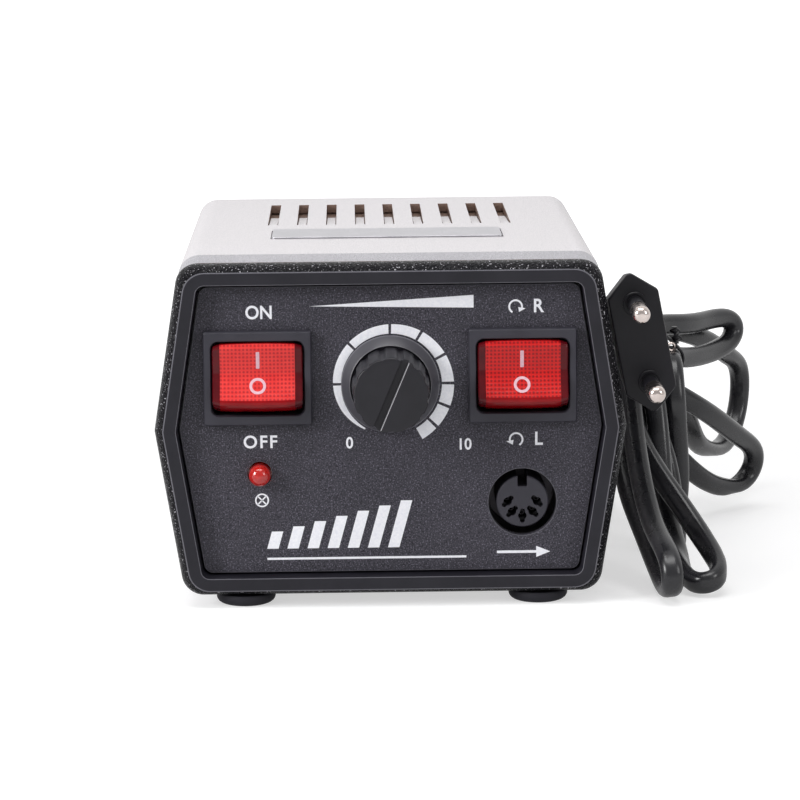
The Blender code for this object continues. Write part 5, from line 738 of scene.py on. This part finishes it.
FEET = (("front_left", -33.6, 8), ("front_right", 33.6, 8),
        ("rear_left", -33.6, 112), ("rear_right", 33.6, 112))
SCREWS = (("front_left", -1, 34), ("rear_left", -1, 96),
          ("front_right", 1, 34), ("rear_right", 1, 96))
SCREW_RISE = 45.6
SHELL_BASE = 2.8
SHELL_TOP = 80
SPLIT = 41
CORNER = 5
KNEE = 3
FINE = 12
SLOT_PITCH = 7.1
SLOT_SHIFT = 0.9
PANEL_FRONT, PANEL_BACK = 3.5, 5.5
SWITCHES = (("power", (-30, 52.9)), ("direction", (30, 52.9)))
KNOB = (0, 51.2)
LAMP = (-29.9, 30.6)
SOCKET = (29.9, 23.4)


def levelled(corners, top, bottom):
    """The same outline with its top and bottom sides at other heights."""
    corners[3].y = corners[4].y = top
    corners[0].y = corners[1].y = bottom
    return corners


# Six corners each, anticlockwise from the bottom left.
SHELL = [Vector(corner) for corner in ((-47.1, SHELL_BASE), (47.1, SHELL_BASE), (53.3, SPLIT),
                                       (47.3, SHELL_TOP), (-47.3, SHELL_TOP), (-53.3, SPLIT))]
FLANGE = levelled(inset(SHELL, -0.35), SHELL_TOP - 1, SHELL_BASE)
RIM = levelled(inset(FLANGE, 2), SHELL_TOP - 2.8, 4.1)
RECESS = inset(RIM, 2.9)


def hexagon(corners, corner=CORNER):
    return fillet(corners, (corner, corner, KNEE) * 2, FINE)


def half_width_at(corners, height):
    low, high = (corners[2], corners[3]) if height > corners[2].y else (corners[1], corners[2])
    return low.x + (high.x - low.x) * (height - low.y) / (high.y - low.y)


def make_bezel():
    """Flat rim, rolled flange with its grain, recess wall, ledge and spigot."""
    rings = []
    start = radians(24)
    for step in range(11):
        angle = start + (pi / 2 - start) * step / 10
        share = (1 - sin(angle)) / (1 - sin(start))
        sink = (cos(start) - cos(angle)) / cos(start)
        rings.append(ring(hexagon([a.lerp(b, share) for a, b in zip(FLANGE, RIM)]), 3.7 * sink))
    rings.append(ring(hexagon(FLANGE), 4.2))
    for corners, radius, depths in (
            (inset(SHELL, 2.3), 3, (4.2, 13.8)), (inset(SHELL, 4.1), 2, (13.8, 7.8)),
            (inset(RECESS, 2.4), 2, (7.8, 5.8)), (inset(RECESS, 0.4), 2, (5.8,)), (RECESS, 2, (0,))):
        rings += [ring(hexagon(corners, radius), depth) for depth in depths]

    def paint(middle, normal):
        """Grain with its painted glints on the flange, outside the rim."""
        outside = abs(middle.x) > half_width_at(RECESS, middle.z) + 2 \
            or not RECESS[0].y - 2 <= middle.z <= RECESS[3].y + 2
        return 1 if outside and middle.y - FRONT < 4.3 and abs(normal.y) < 0.96 else 0

    cuts = [block(at(x - 2.5, 5.5, 3.8), at(x + 2.5, 14.8, 7.4)) for _, x, _ in FEET[:2]]
    # Every bevel takes the third, pale material: painted highlight along the rim's edges.
    piece("bezel", skin(rings, loop=True), (rim_black, grain, painted_edge_highlight), node="front_bezel", cut=cuts,
          bevel=0.15, limit=23, paint=paint, edge=2)


def make_panel_plate():
    """Front panel with every hole that a fitting passes through."""
    holes = [box_outline(22.5, 19.4, 0.4, centre, 2) for _, centre in SWITCHES]
    holes += [disc_outline(3.8, 48, KNOB), disc_outline(2.8, 64, LAMP), disc_outline(7.75, 96, SOCKET)]
    # Bevels on the outline and round the holes take the paler second material: painted highlight.
    piece("panel", prism(hexagon(inset(RECESS, 0.7), 2), PANEL_FRONT, PANEL_BACK),
          (panel_paint, panel_edge_highlight), node="front_panel",
          cut=[prism(hole, PANEL_FRONT - 1.5, PANEL_BACK + 1.5) for hole in holes], bevel=0.18, edge=1)


def upper_path(corners, height, radius):
    half = half_width_at(corners, height)
    return fillet([(half, height), corners[3], corners[4], (-half, height)], (0, radius, radius, 0), FINE)


def screw_frame(side, depth):
    """Placement on the cover's flank with the local Z axis outwards."""
    along = (SHELL[3] - SHELL[2]).normalized()
    return facing((side * along.y, 0, -along.x),
                  at(side * half_width_at(SHELL, SCREW_RISE), depth, SCREW_RISE))


def make_cover():
    """Upper shell with its sloped front lip, nine slots, the plate's seat and the screw holes."""
    edge = SPLIT + 0.15
    inner = upper_path(inset(SHELL, 2), edge, 3)[::-1]
    rings = []
    for drop, depth in ((1, 4.5), (0.06, 11.6), (0, 12.3), (0, 122), (0, 127.4)):
        corners = [Vector((x, min(z, SHELL_TOP - drop))) for x, z in SHELL]
        rings.append(ring(upper_path(corners, edge, CORNER) + inner, depth))
    rings.append(ring(upper_path(inset(SHELL, 0.6), edge, CORNER) + inner, 128))

    def paint(middle, normal):
        """Inner paint inside, short of the rear end, and a greyer silver on the lip as painted shade."""
        depth = middle.y - FRONT
        inside = middle.z < SHELL_TOP - 1.9 and abs(middle.x) < half_width_at(SHELL, middle.z) - 1.5
        return 1 if inside and depth < 124 else 2 if depth < 11.8 else 0

    cuts = []
    tongues = []
    for number in range(9):
        x = (number - 4) * SLOT_PITCH + SLOT_SHIFT
        cuts.append(tinted(block(at(x - 1.25, 68, 76), at(x + 1.25, 112, 82)), 1))
        tongues.append(skin([[at(x + side * 1.05, depth, z - drop) for side, depth, z in
                              ((-1, 67.6, 79.8), (1, 67.6, 79.8), (1, 95, 78.6), (-1, 95, 78.6))]
                             for drop in (0.6, 0)]))
    cuts.append(block(at(-27.5, 39.7, 79.3), at(27.5, 56.8, 82)))
    sunk = ((0, -4), (1.7, -4), (1.7, -1.6), (3.1, 0), (3.1, 1), (0, 1))
    cuts += [lathe(sunk, screw_frame(side, depth), 32) for _, side, depth in SCREWS]
    piece("cover", skin(rings), (silver, inner_paint, lip_shaded_silver), node="top_cover", cut=cuts,
          bevel=0.18, segments=3, limit=24, paint=paint)
    piece("slot_tongues", merge(*tongues), silver, bevel=0.1)
    baffle = [(113.8, 78.3), (113.8, 77), (88, 76.6), (88, 77.1), (112.6, 77.5), (112.6, 78.3)]
    piece("slot_baffle", skin([[at(x, depth, z) for depth, z in baffle] for x in (-32, 34)]),
          inner_paint, bevel=0.1)


def make_plate():
    outline = box_outline(54.4, 16.5, 0.8, (0, 48.25))
    piece("plate", skin([[at(p[0], p[1], z) for p in outline] for z in (79.6, 80.4)]), plate_metal,
          node="top_plate", bevel=0.18, segments=3)


def make_feet():
    profile = [(0, 1.2), (2.3, 1.2), (2.6, 0.9), (2.6, 0.3), (2.9, 0), (5.2, 0), (5.4, 0.02),
               (5.9, 0.22), (6.4, 0.6), (6.7, 1.1), (6.8, 1.6), (6.8, 2.2), (6.6, 2.5), (1.5, 2.5),
               (1.5, 5.1), (2.2, 5.1), (1.5, 7.1), (0, 7.1)]
    for name, x, depth in FEET:
        piece("rubber_foot_" + name, lathe(profile, Matrix.Translation(at(x, depth, 0)), 48), rubber,
              node="foot_" + name, sharp=50)


def make_flank_screws():
    """Countersunk screws with a cross in their heads."""
    profile = ((0, -6.5), (0.7, -6.5), (1.4, -5.1), (1.4, -1.3), (2.7, -0.1), (2.6, 0), (0, 0))
    for word, side, depth in SCREWS:
        place = screw_frame(side, depth)
        cross = [block((-0.35, -1.6, -0.8), (0.35, 1.6, 1), place @ Matrix.Rotation(turn, 4, "Z"))
                 for turn in (0.5, 0.5 + pi / 2)]
        node = "case_screw_" + word
        piece("visual_" + node, lathe(profile, place, 32), steel, node=node, cut=cross, bevel=0.06)


make_bezel()
make_panel_plate()
make_cover()
make_plate()
make_feet()
make_flank_screws()
dressed("base_tray", silver, 0.16)
dressed("rear_panel", rear_black, 0.2)


# ---------------------------------------------------------------- switches

FRAME_FRONT = 1.2
ROCKER_WIDTH = 20.4
ROCKER_END = 8.05
ROCKER_SWELL = 0.12


def make_switch(word, centre):
    """Housing with a bevelled frame, a deep well and four blades behind."""
    rings = [ring(box_outline(*sizes, centre), depth) for sizes, depth in (
        ((20.9, 16.8, 1.6), FRAME_FRONT + 9), ((20.9, 16.8, 1.6), FRAME_FRONT + 0.5),
        ((21.4, 17.3, 1.8), FRAME_FRONT), ((23.9, 20.9, 0.35), FRAME_FRONT),
        ((24.5, 21.5, 0.4), FRAME_FRONT + 0.4), ((24.6, 21.6, 0.4), FRAME_FRONT + 1.1),
        ((24.6, 21.6, 0.4), 3.2), ((21.9, 18.8, 0.6), 3.2), ((21.9, 18.8, 0.6), 20.2))]
    shapes = [skin(rings)]
    for column in (-5, 5):
        for row in (-5, 5):
            x, z = centre[0] + column, centre[1] + row
            shapes.append(block(at(x - 2.4, 19.2, z - 0.4), at(x + 2.4, 28.2, z + 0.4)))
    piece("housing_" + word, merge(*shapes), frame_black, node=word + "_switch_body", bevel=0.08,
          limit=20)


def face_reach(height):
    """Reach of a rocker's V face from its axle."""
    return 4.3 + 1.7 * (abs(height) / 6.1) ** 1.25


def make_rocker(word, centre, lens, shift):
    """Rocker: shallow V face between two round ends in painted shade, bevelled sides in deeper painted shade,
    marks of a bar and a ring.
    """
    profile = [(face_reach(height), height) for height in (0, 1.2, 2.4, 3.6, 4.8, 5.7)]
    profile += [(5.96, 6.2), (5.84, 6.7), (5.3, 7.2), (4.4, 7.5)]
    first, last = 0.42, asin(-2.2 / ROCKER_END)
    turns = [first + (last - first) * step / 8 for step in range(9)]
    profile += [(ROCKER_END * sin(a), ROCKER_END * cos(a)) for a in turns]
    outline = profile + [(reach, -height) for reach, height in profile[:0:-1]]
    sides = [(0.85, 0.5), (0.92, 0.489), (0.975, 0.415), (0.99, 0.3), (1, 0.1)]
    rings = []
    for share, side in [(share, -side) for share, side in sides] + sides[::-1]:
        swell = ROCKER_SWELL * (1 - (2 * side) ** 2)
        rings.append([Vector((side * ROCKER_WIDTH, -(reach * share + (swell if reach > 4.2 else 0)),
                              height * share)) for reach, height in outline])
    place = Matrix.Translation(at(centre[0], 4.8, centre[1])) @ Matrix.Rotation(radians(-11), 4, "X")
    shape = skin(rings)
    shape.transform(place)
    local = place.inverted()

    def paint(middle, normal):
        """Lens on the V face, painted shade in darker red round it and deeper painted shade at the sides."""
        spot, face = local @ middle, local.to_3x3() @ normal
        if abs(spot.x) > 8.4:
            return 2
        return 0 if face.y < -0.35 and -5.6 < spot.z < 7.1 else 1

    body = word + "_rocker_body"
    piece("rocker_" + word, shape, (lens, lens_end_shade, dark_red_and_shade), body, word + "_rocker", paint=paint,
          sharp=24)

    def raised(marked, *lifts):
        """Rings along the V face for a mark that stands out from it."""
        return [[Vector((x, -(face_reach(z) + ROCKER_SWELL + lift), z)) for x, z in marked] for lift in lifts]

    bar = box_outline(0.8, 3.7, 0.12, (shift - 0.25, shift + 3.1), 2)
    outer, inner = [disc_outline(radius, 48, (shift - 0.3, shift - 2.7)) for radius in (1.88, 1.24)]
    marks = merge(skin(raised(bar, -0.25, 0.06)),
                  skin(raised(outer, -0.25, 0.06) + raised(inner, 0.06, -0.25), loop=True))
    marks.transform(place)
    piece("rocker_marks_" + word, marks, rocker_ink, body, sharp=40)


for (word, centre), lens, shift in zip(SWITCHES, (lens_left_sheen, lens_right), (0.35, 0)):
    make_switch(word, centre)
    make_rocker(word, centre, lens, shift)


# ---------------------------------------------------------------- knob, lamp and socket

KNOB_TURN = radians(-23)
KNOB_RIBS = 13
RIB_STEPS = 14
RIB_SHARE = 0.56


def knob_ring(radius, height, flute):
    """Ring of the grip: flat ribs with round flutes between them."""
    points = []
    for step in range(KNOB_RIBS * RIB_STEPS):
        angle = tau * (step - RIB_STEPS / 12) / (KNOB_RIBS * RIB_STEPS)
        share = (step % RIB_STEPS) / RIB_STEPS
        wave = sin(pi * (share - RIB_SHARE) / 0.44) ** 0.7 if share > RIB_SHARE else 0
        reach = radius - 0.5 * flute * wave
        points.append(Vector((reach * sin(angle), reach * cos(angle), height)))
    return points


def make_knob():
    """Skirted knob with a fluted grip, a groove across its face and a hollow back."""
    rings = [knob_ring(*values) for values in (
        (8, 2, 0), (8, 0, 0), (10.85, 0, 0), (11.05, 0.1, 0), (11.15, 0.3, 0),
        (11.15, 0.7, 0), (10.95, 1.1, 0), (10.8, 1.25, 0), (9.35, 3.3, 0), (9.15, 3.4, 0),
        (9, 3.15, 0), (8.9, 3, 1), (8.8, 3.2, 1), (8.55, 14, 1))]
    rings += [knob_ring(8.05 + 0.42 * c, 16.02 + 0.48 * s, 0.95 * (1 - step / 5))
              for step, (c, s) in enumerate(quarter(5))]
    rings.append(knob_ring(7, 16.5, 0))
    place = facing(AHEAD, at(KNOB[0], 2.85, KNOB[1])) @ Matrix.Rotation(KNOB_TURN, 4, "Z")
    shape = skin(rings)
    for face in shape.faces:
        middle = face.calc_center_median()
        # The cone's faces take the lighter skirt plastic: painted sheen.
        cone = 1.1 < middle.z < 3.36 and len(face.verts) == 4 and middle.xy.length > 9.2
        # The skirt's rim chamfer takes the pale edge material: painted highlight.
        face.material_index = 3 if 0.7 < middle.z < 1.1 else 2 if cone else 0
    shape.transform(place)
    section = ((-1, 17.5), (-1, 15.55), (-0.85, 15.45), (0.68, 15.6), (0.78, 16.25), (1, 16.52), (1, 17.5))
    groove = skin([[place @ Vector((x, y, z)) for x, z in section] for y in (-12, 12)])
    # The groove's right slope takes the pale material: painted highlight.
    slope = place @ Vector((0.89, 0, 16.385))
    for face in groove.faces:
        if (face.calc_center_median() - slope).length < 0.1:
            face.material_index = 1
    bore = lathe(((0, 3), (3.3, 3), (3.3, 13), (0, 13)), place, 48)
    piece("knob", shape, (knob_black, knob_highlight_line, skirt_painted_sheen, painted_edge_highlight), "speed_control", "speed_knob",
          cut=(groove, bore), bevel=0.06, limit=32, sharp=30)


def make_lamp():
    """Domed lamp with its two leads, and the little cup inside."""
    profile = [(0, -1), (2.9, -1), (3.1, -0.8), (3.1, -0.1), (3, 0), (2.5, 0)]
    profile += [(2.5 * c, 4 + 2.5 * s) for c, s in quarter(16)]
    place = facing(AHEAD, at(LAMP[0], 5.8, LAMP[1]))
    leads = [block((x - 0.3, -0.3, -8), (x + 0.3, 0.3, -0.5), place) for x in (-1.27, 1.27)]
    piece("lamp", merge(lathe(profile, place), *leads), lamp_plastic, node="pilot_lamp")
    cup = ((0, 1.4), (0.9, 1.4), (1.35, 2.6), (1.2, 2.6), (0.8, 1.6), (0, 1.6))
    piece("lamp_cup", lathe(cup, place, 32), nickel)


def turned(outline, degrees, centre):
    """Outline round the origin, turned anticlockwise and moved to a centre."""
    c, s = cos(radians(degrees)), sin(radians(degrees))
    return [(centre[0] + x * c - z * s, centre[1] + x * s + z * c) for x, z in outline]


def make_socket():
    """Keyed insert with slit openings, its contacts, and the shell round it."""
    x0, z0 = SOCKET
    face, back = 4.1, 19
    rings = [ring(disc_outline(radius, 96, SOCKET), depth)
             for radius, depth in ((5.7, face), (5.95, face + 0.3), (5.95, 17.5))]
    cuts = [prism(box_outline(2.2, 5, 0.2, (x0, z0 + 5.95), 3), face - 1, back)]
    contact = ((0, -15.5), (0.65, -15.5), (0.65, -0.1), (0.55, 0), (0.42, 0), (0.4, -2), (0, -2))
    for index, lie in enumerate((-45, -45, -90, -135, 45)):
        angle = radians(-45 * index)
        x, z = x0 + 3.35 * cos(angle), z0 + 3.35 * sin(angle)
        slit = turned(box_outline(3.3, 1.15, 0.5, steps=4), lie, (x, z))
        cuts += [prism(slit, face - 1, face + 3.2), prism(disc_outline(0.98, 24, (x, z)), face - 1, back)]
        # The contacts take the dark metal as painted shade, so they read black in their holes.
        piece("contact_{}".format(index + 1), lathe(contact, facing(AHEAD, at(x, 8.4, z)), 24), dark_metal_and_shade,
              node="output_contact_{}".format(index + 1))
    piece("insert", skin(rings), insert_black, node="output_socket_insert", cut=cuts, bevel=0.08)
    dressed("output_socket_shell", dark_metal_and_shade, 0.1)


make_knob()
make_lamp()
make_socket()


# ---------------------------------------------------------------- marks on the panel

INK_FRONT, INK_BACK = PANEL_FRONT - 0.06, PANEL_FRONT + 0.03
INK_STEPS = 24
SCALE_END = 151
SCALE_GAPS = (-90.5, -45.5, 0, 31.5, 62.2, 90.5, 112.8, 134)
SCALE_GAP_HALF = 1.4
LAMP_SIGN = (-29.5, 24.5)


def flat(outline):
    """Thin printed area on the panel."""
    return prism(outline, INK_FRONT, INK_BACK)


def polar(centre, reach, degrees):
    """Point of the panel at a distance, in a direction clockwise from the top."""
    angle = radians(degrees)
    return (centre[0] + reach * sin(angle), centre[1] + reach * cos(angle))


def band(centre, start, end, inner, outer, angles=(0,)):
    """Part of a ring between two directions, whose two radii follow from the direction."""
    points = []
    for radii, order in ((inner, range(INK_STEPS + 1)), (outer, range(INK_STEPS, -1, -1))):
        for step in order:
            angle = start + (end - start) * step / INK_STEPS
            points.append(polar(centre, float(np.interp(angle, angles, radii)), angle))
    return flat(points)


def scale_ring():
    """Ring round the knob that widens with the speed, broken at each number."""
    angles, inner, outer = zip(*(
        (-150, 11.75, 12.1), (-120, 11.4, 12.7), (-90, 11.15, 13), (0, 11.35, 13.5),
        (90, 11.7, 14.45), (150, 11.9, 14.8)))
    starts = [-SCALE_END] + [gap + SCALE_GAP_HALF for gap in SCALE_GAPS]
    ends = [gap - SCALE_GAP_HALF for gap in SCALE_GAPS] + [SCALE_END]
    return [band(KNOB, start, end, inner, outer, angles) for start, end in zip(starts, ends)]


def turn_arrow(centre, side):
    """Round arrow, clockwise for side 1."""
    radius, half, head = 1.45, 0.21, 0.85
    end = side * 100
    corners = [polar(centre, radius, end + side * 48), polar(centre, radius + head, end),
               polar(centre, radius - head, end)]
    return [band(centre, side * -150, end, (radius - half,), (radius + half,)), flat(corners)]


def word_shape(text, centre, height, width=0.92, spacing=1):
    """Plain lettering of a cap height, centred."""
    curve = with_values(bpy.data.curves.new("word", "FONT"), body=text, size=1, offset=0.02,
                        space_character=spacing, extrude=0.05, resolution_u=6)
    letters = in_scene("word", curve)
    mesh = final_mesh(letters)
    bpy.data.objects.remove(letters)
    low, high = [Vector([pick(v.co[i] for v in mesh.vertices) for i in range(3)]) for pick in (min, max)]
    scale = height / (high.y - low.y)
    middle = (low + high) / 2
    shape = bmesh.new()
    shape.from_mesh(mesh)
    bmesh.ops.remove_doubles(shape, verts=shape.verts, dist=0.0001)
    for vertex in shape.verts:
        x, z, up = vertex.co - middle
        vertex.co = at(centre[0] + x * scale * width, INK_FRONT if up > 0 else INK_BACK,
                       centre[1] + z * scale)
    bpy.data.meshes.remove(mesh)
    return tinted(shape, 0)


def make_marks():
    """Everything printed on the panel: scale, words, turn arrows, wedge, lamp sign, arrow, bars and line."""
    shapes = scale_ring()
    shapes += [word_shape(*values) for values in (
        ("ON", (-29.6, 67.75), 3.15), ("OFF", (-29.65, 38.05), 3, 0.98, 1.2), ("R", (33.8, 68.6), 3.1),
        ("L", (33.7, 38.1), 3.1), ("0", (-9.4, 37.6), 2.7), ("10", (17, 37), 2.7))]
    shapes += turn_arrow((28.5, 68.4), 1) + turn_arrow((28.5, 37.9), -1)
    shapes += [band(LAMP_SIGN, start, start + 180, (1.25,), (1.6,)) for start in (-180, 0)]
    stroke = ((-1.35, 0.16), (1.35, 0.16), (1.35, -0.16), (-1.35, -0.16))
    outlines = [turned(stroke, degrees, LAMP_SIGN) for degrees in (45, -45)]
    outlines += [[(-18.2, 69), (19, 68.3), (19, 71.2)],
                 [(24, 11.5), (33, 11.5), (33, 12.1), (24, 12.1)],
                 [(33, 10.5), (36.2, 11.8), (33, 13.1)],
                 [(-28.5, 10.6), (17, 10.6), (17, 11.1), (-28.5, 11.1)]]
    for number in range(7):
        x, low, rise = -28.5 + number * 4.6, 13.2, 4 + number * 1.15
        lean = rise * 0.28
        outlines.append([(x, low), (x + 2.6, low), (x + 2.6 + lean, low + rise), (x + lean, low + rise)])
    piece("panel_marks", merge(*shapes, *[flat(outline) for outline in outlines]), ink, sharp=30)


make_marks()


# ---------------------------------------------------------------- plug and tie

REAR_FACE = 124.8
TIE_MIDDLE = 66
RELIEF_RIBS = 6


def make_plug():
    """Moulded two-pin plug: six-sided face, waisted back with grip ribs, sleeves and pins."""
    sections = [(32.4, 10.9, 0), (32.8, 11.3, 0.06), (33.1, 11.6, 0.26), (33.2, 11.7, 0.6),
                (33.2, 11.7, 1.6), (32.6, 11.6, 3.4), (29.6, 11.4, 14.4), (28.6, 11.3, 16.6),
                (24.6, 11, 21), (19, 10.5, 25.2), (17.6, 10.3, 26.6)]
    for number in range(4):
        back = 27.4 + number * 1.5
        length = 16.2 - number * 1.75
        width = 10.1 - number * 0.4
        sections += [(length - 0.9, width - 0.9, back), (length - 0.9, width - 0.9, back + 0.5),
                     (length, width, back + 0.6), (length - 0.5, width - 0.1, back + 1.35)]
    sections += [(9.6, 8.2, 33.6), (9, 7.6, PLUG_TAIL)]
    place = Matrix.Translation(at(PLUG_X, PLUG_FACE, PLUG_Z)) @ Matrix.Rotation(PLUG_LEAN, 4, "Y")
    rings = []
    for length, width, depth in sections:
        x, z = width / 2, length / 2
        knee = z - (5.2 - 2.8 * min(1, max(0, (depth - 15) / 19)))
        corners = [(0, -z), (x, -knee), (x, knee), (0, z), (-x, knee), (-x, -knee)]
        rings.append([place @ Vector((p[0], depth, p[1])) for p in fillet(corners, (1.2,) * 6, 5)])
    shapes = [skin(rings)]
    sleeve = ((0, -1), (2.75, -1), (2.75, 0.25), (2.6, 0.4), (2.25, 0.4), (2.15, 0.3), (1.9, 0.3),
              (1.9, 9.5), (1.82, 9.68), (1.4, 9.7), (1.4, 0.6), (0, 0.6))
    pin = [(0, 0.8), (1.1, 0.8), (1.1, 10), (1.9, 10), (2, 10.1)]
    pin += [(0.35 + 1.65 * c, 17.35 + 1.65 * s) for c, s in quarter(12)] + [(0, 19)]
    pins = []
    for word, z in (("top", 9.2), ("bottom", -9.2)):
        seat = facing(AHEAD, place @ Vector((0, 0, z)))
        shapes.append(lathe(sleeve, seat, 48))
        node = "plug_pin_" + word
        pins.append(piece("visual_" + node, lathe(pin, seat, 48), nickel, node=node))
    return [piece("plug", merge(*shapes), plug_black, node="plug_body", sharp=32)] + pins


def make_tie():
    """Band round the hank with rounded edges, and its twisted wire end."""
    right = RUN_SPREAD + RUN_PITCH
    top = RUN_RISE + 2 * RUN_PITCH
    centres = [Vector(p) for p in (
        (RUN_SPREAD, RUN_RISE), (right, RUN_RISE), (right + RUN_PITCH, RUN_RISE + RUN_PITCH), (right, top),
        (RUN_SPREAD, top))]
    rings = [ring(fillet(inset(centres, -reach), (reach,) * 5, 8), depth) for reach, depth in (
        (2.95, 64.3), (3.2, 64), (3.55, 64.1), (3.7, 64.5), (3.62, 65.4), (3.7, TIE_MIDDLE),
        (3.62, 66.6), (3.7, 67.5), (3.55, 67.9), (3.2, 68), (2.95, 67.7))]
    shapes = [skin(rings, loop=True)]
    knot_x, knot_z = right + RUN_PITCH / 2 + 2.9, RUN_RISE + RUN_PITCH + 3.6
    twist = []
    for number in range(23):
        share = number / 22
        turn = radians(45 + 420 * share)
        c, s = cos(turn), sin(turn)
        centre = at(knot_x + 1.5 + 0.3 * sin(share * 5), TIE_MIDDLE - 1, knot_z + 0.1 + 4.2 * share)
        twist.append([centre + Vector((wide * 1.35 * c - slim * 0.62 * s,
                                       (wide * 1.35 * s + slim * 0.62 * c) * 0.7, 0))
                      for wide, slim in disc_outline(1, 16)])
    shapes.append(skin(twist))
    tie_piece = piece("tie_band", merge(*shapes), plug_black, node="cord_tie", sharp=40)
    wire = []
    for number in range(25):
        share = number / 24
        turn = radians(-60 + 400 * share)
        out = Vector((cos(turn), 0, sin(turn)))
        centre = at(knot_x + 0.3, TIE_MIDDLE - 1.4 - 2.2 * share, knot_z - 0.4) + out * (0.75 + 0.25 * share)
        wire.append([centre + out * x + Vector((0, y, 0)) for x, y in disc_outline(0.36, 10)])
    piece("tie_wire", skin(wire), nickel, sharp=60)
    return tie_piece


def make_relief():
    """Tapered sleeve with rings, locked in the rear panel."""
    profile = [(0, -7.6), (4.4, -7.6), (6, -2.6), (4.4, -2.6), (4.4, 0), (6.4, 0), (6.6, 0.2),
               (6.6, 2.1), (6.3, 2.4)]
    length = RELIEF_TIP - REAR_FACE
    span = (length - 2.4) / RELIEF_RIBS
    for rib in range(RELIEF_RIBS):
        start = 2.4 + span * rib
        radius = 4.9 - 1.2 * rib / RELIEF_RIBS
        profile += [(radius - less, start + on) for less, on in (
            (0.55, 0.1), (0.7, 0.3), (0.7, span * 0.38), (0.3, span * 0.42), (0, span * 0.52),
            (0, span * 0.9), (0.2, span - 0.05))]
    profile += [(2.9, length), (2.75, length - 0.6), (0, length - 0.6)]
    return piece("strain_relief", lathe(profile, facing(BACK, at(RELIEF_X, REAR_FACE, RELIEF_Z)), 48), rubber,
                 node="cord_strain_relief", sharp=40)


plug_pieces = make_plug()
tie = make_tie()
relief = make_relief()
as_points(cord_path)


# ---------------------------------------------------------------- rear fittings and inner parts

FUSE_X, FUSE_Z = -27, 56
FUSE_RIBS = 16


def make_fuse():
    """Fuse holder with its nut, and the cap with fine ribs and a slot."""
    profile = [(0, -27), (4.6, -27), (4.6, 1.7), (4.9, 2), (7.9, 2), (8.3, 1.8), (8.4, 1.4),
               (8.4, 0), (6, 0), (6, -2.6), (8, -2.6), (8, -5.6), (6, -5.6), (6, -30),
               (0, -30)]
    piece("fuse_carrier_body", lathe(profile, facing(BACK, at(FUSE_X, REAR_FACE, FUSE_Z))), rear_black,
          node="fuse_holder")
    seat = facing(BACK, at(FUSE_X, REAR_FACE + 2.35, FUSE_Z))
    rings = []
    for radius, height, rib in ((4.2, -7, 0), (4.2, 0, 0), (5.9, 0, 0.6), (6.2, 0.3, 1),
                                (6.2, 7.1, 1), (5.95, 7.65, 0.7), (5.6, 7.95, 0.2), (5.3, 8, 0)):
        points = []
        for step in range(128):
            angle = tau * step / 128
            reach = radius - 0.35 * rib * (0.5 - 0.5 * cos(angle * FUSE_RIBS))
            points.append(seat @ Vector((reach * cos(angle), reach * sin(angle), height)))
        rings.append(points)
    slot = block((-0.7, -8, 6.8), (0.7, 8, 9), seat)
    piece("fuse_carrier_cap", skin(rings), rear_black, "fuse_cap_body", "fuse_cap", cut=(slot,), bevel=0.06,
          sharp=30)


def dress_rest():
    """Rear fittings as rounded copies of their solids; the inner parts only get materials."""
    for node, surface, bevel, body in (
            ("pedal_socket", rear_black, 0.12, "case"), ("pedal_socket_nut", nickel, 0.1, "case"),
            ("voltage_selector", rear_black, 0.12, "case"),
            ("voltage_selector_slider", dark_red_and_shade, 0.1, "selector_slider_body")):
        dressed(node, surface, bevel, body)
    for surface, nodes in (
            (fuse_metal, ("fuse_link",)), (alloy, ("heat_sink",)), (board_green, ("control_board",)),
            (laminations, ("transformer_core",)), (winding_tape, ("transformer_winding",)),
            (inner_black, ("smoothing_capacitor", "bridge_rectifier", "power_transistor")),
            (steel, ("speed_potentiometer", "transformer_strap", "transformer_screw_left",
                     "transformer_screw_right")),
            (nickel, ("potentiometer_shaft", "potentiometer_nut", "board_standoff_1", "board_standoff_2",
                      "board_standoff_3", "board_standoff_4"))):
        for node in nodes:
            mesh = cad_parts[node].data
            mesh.materials.clear()
            mesh.materials.append(surface)


make_fuse()
dress_rest()
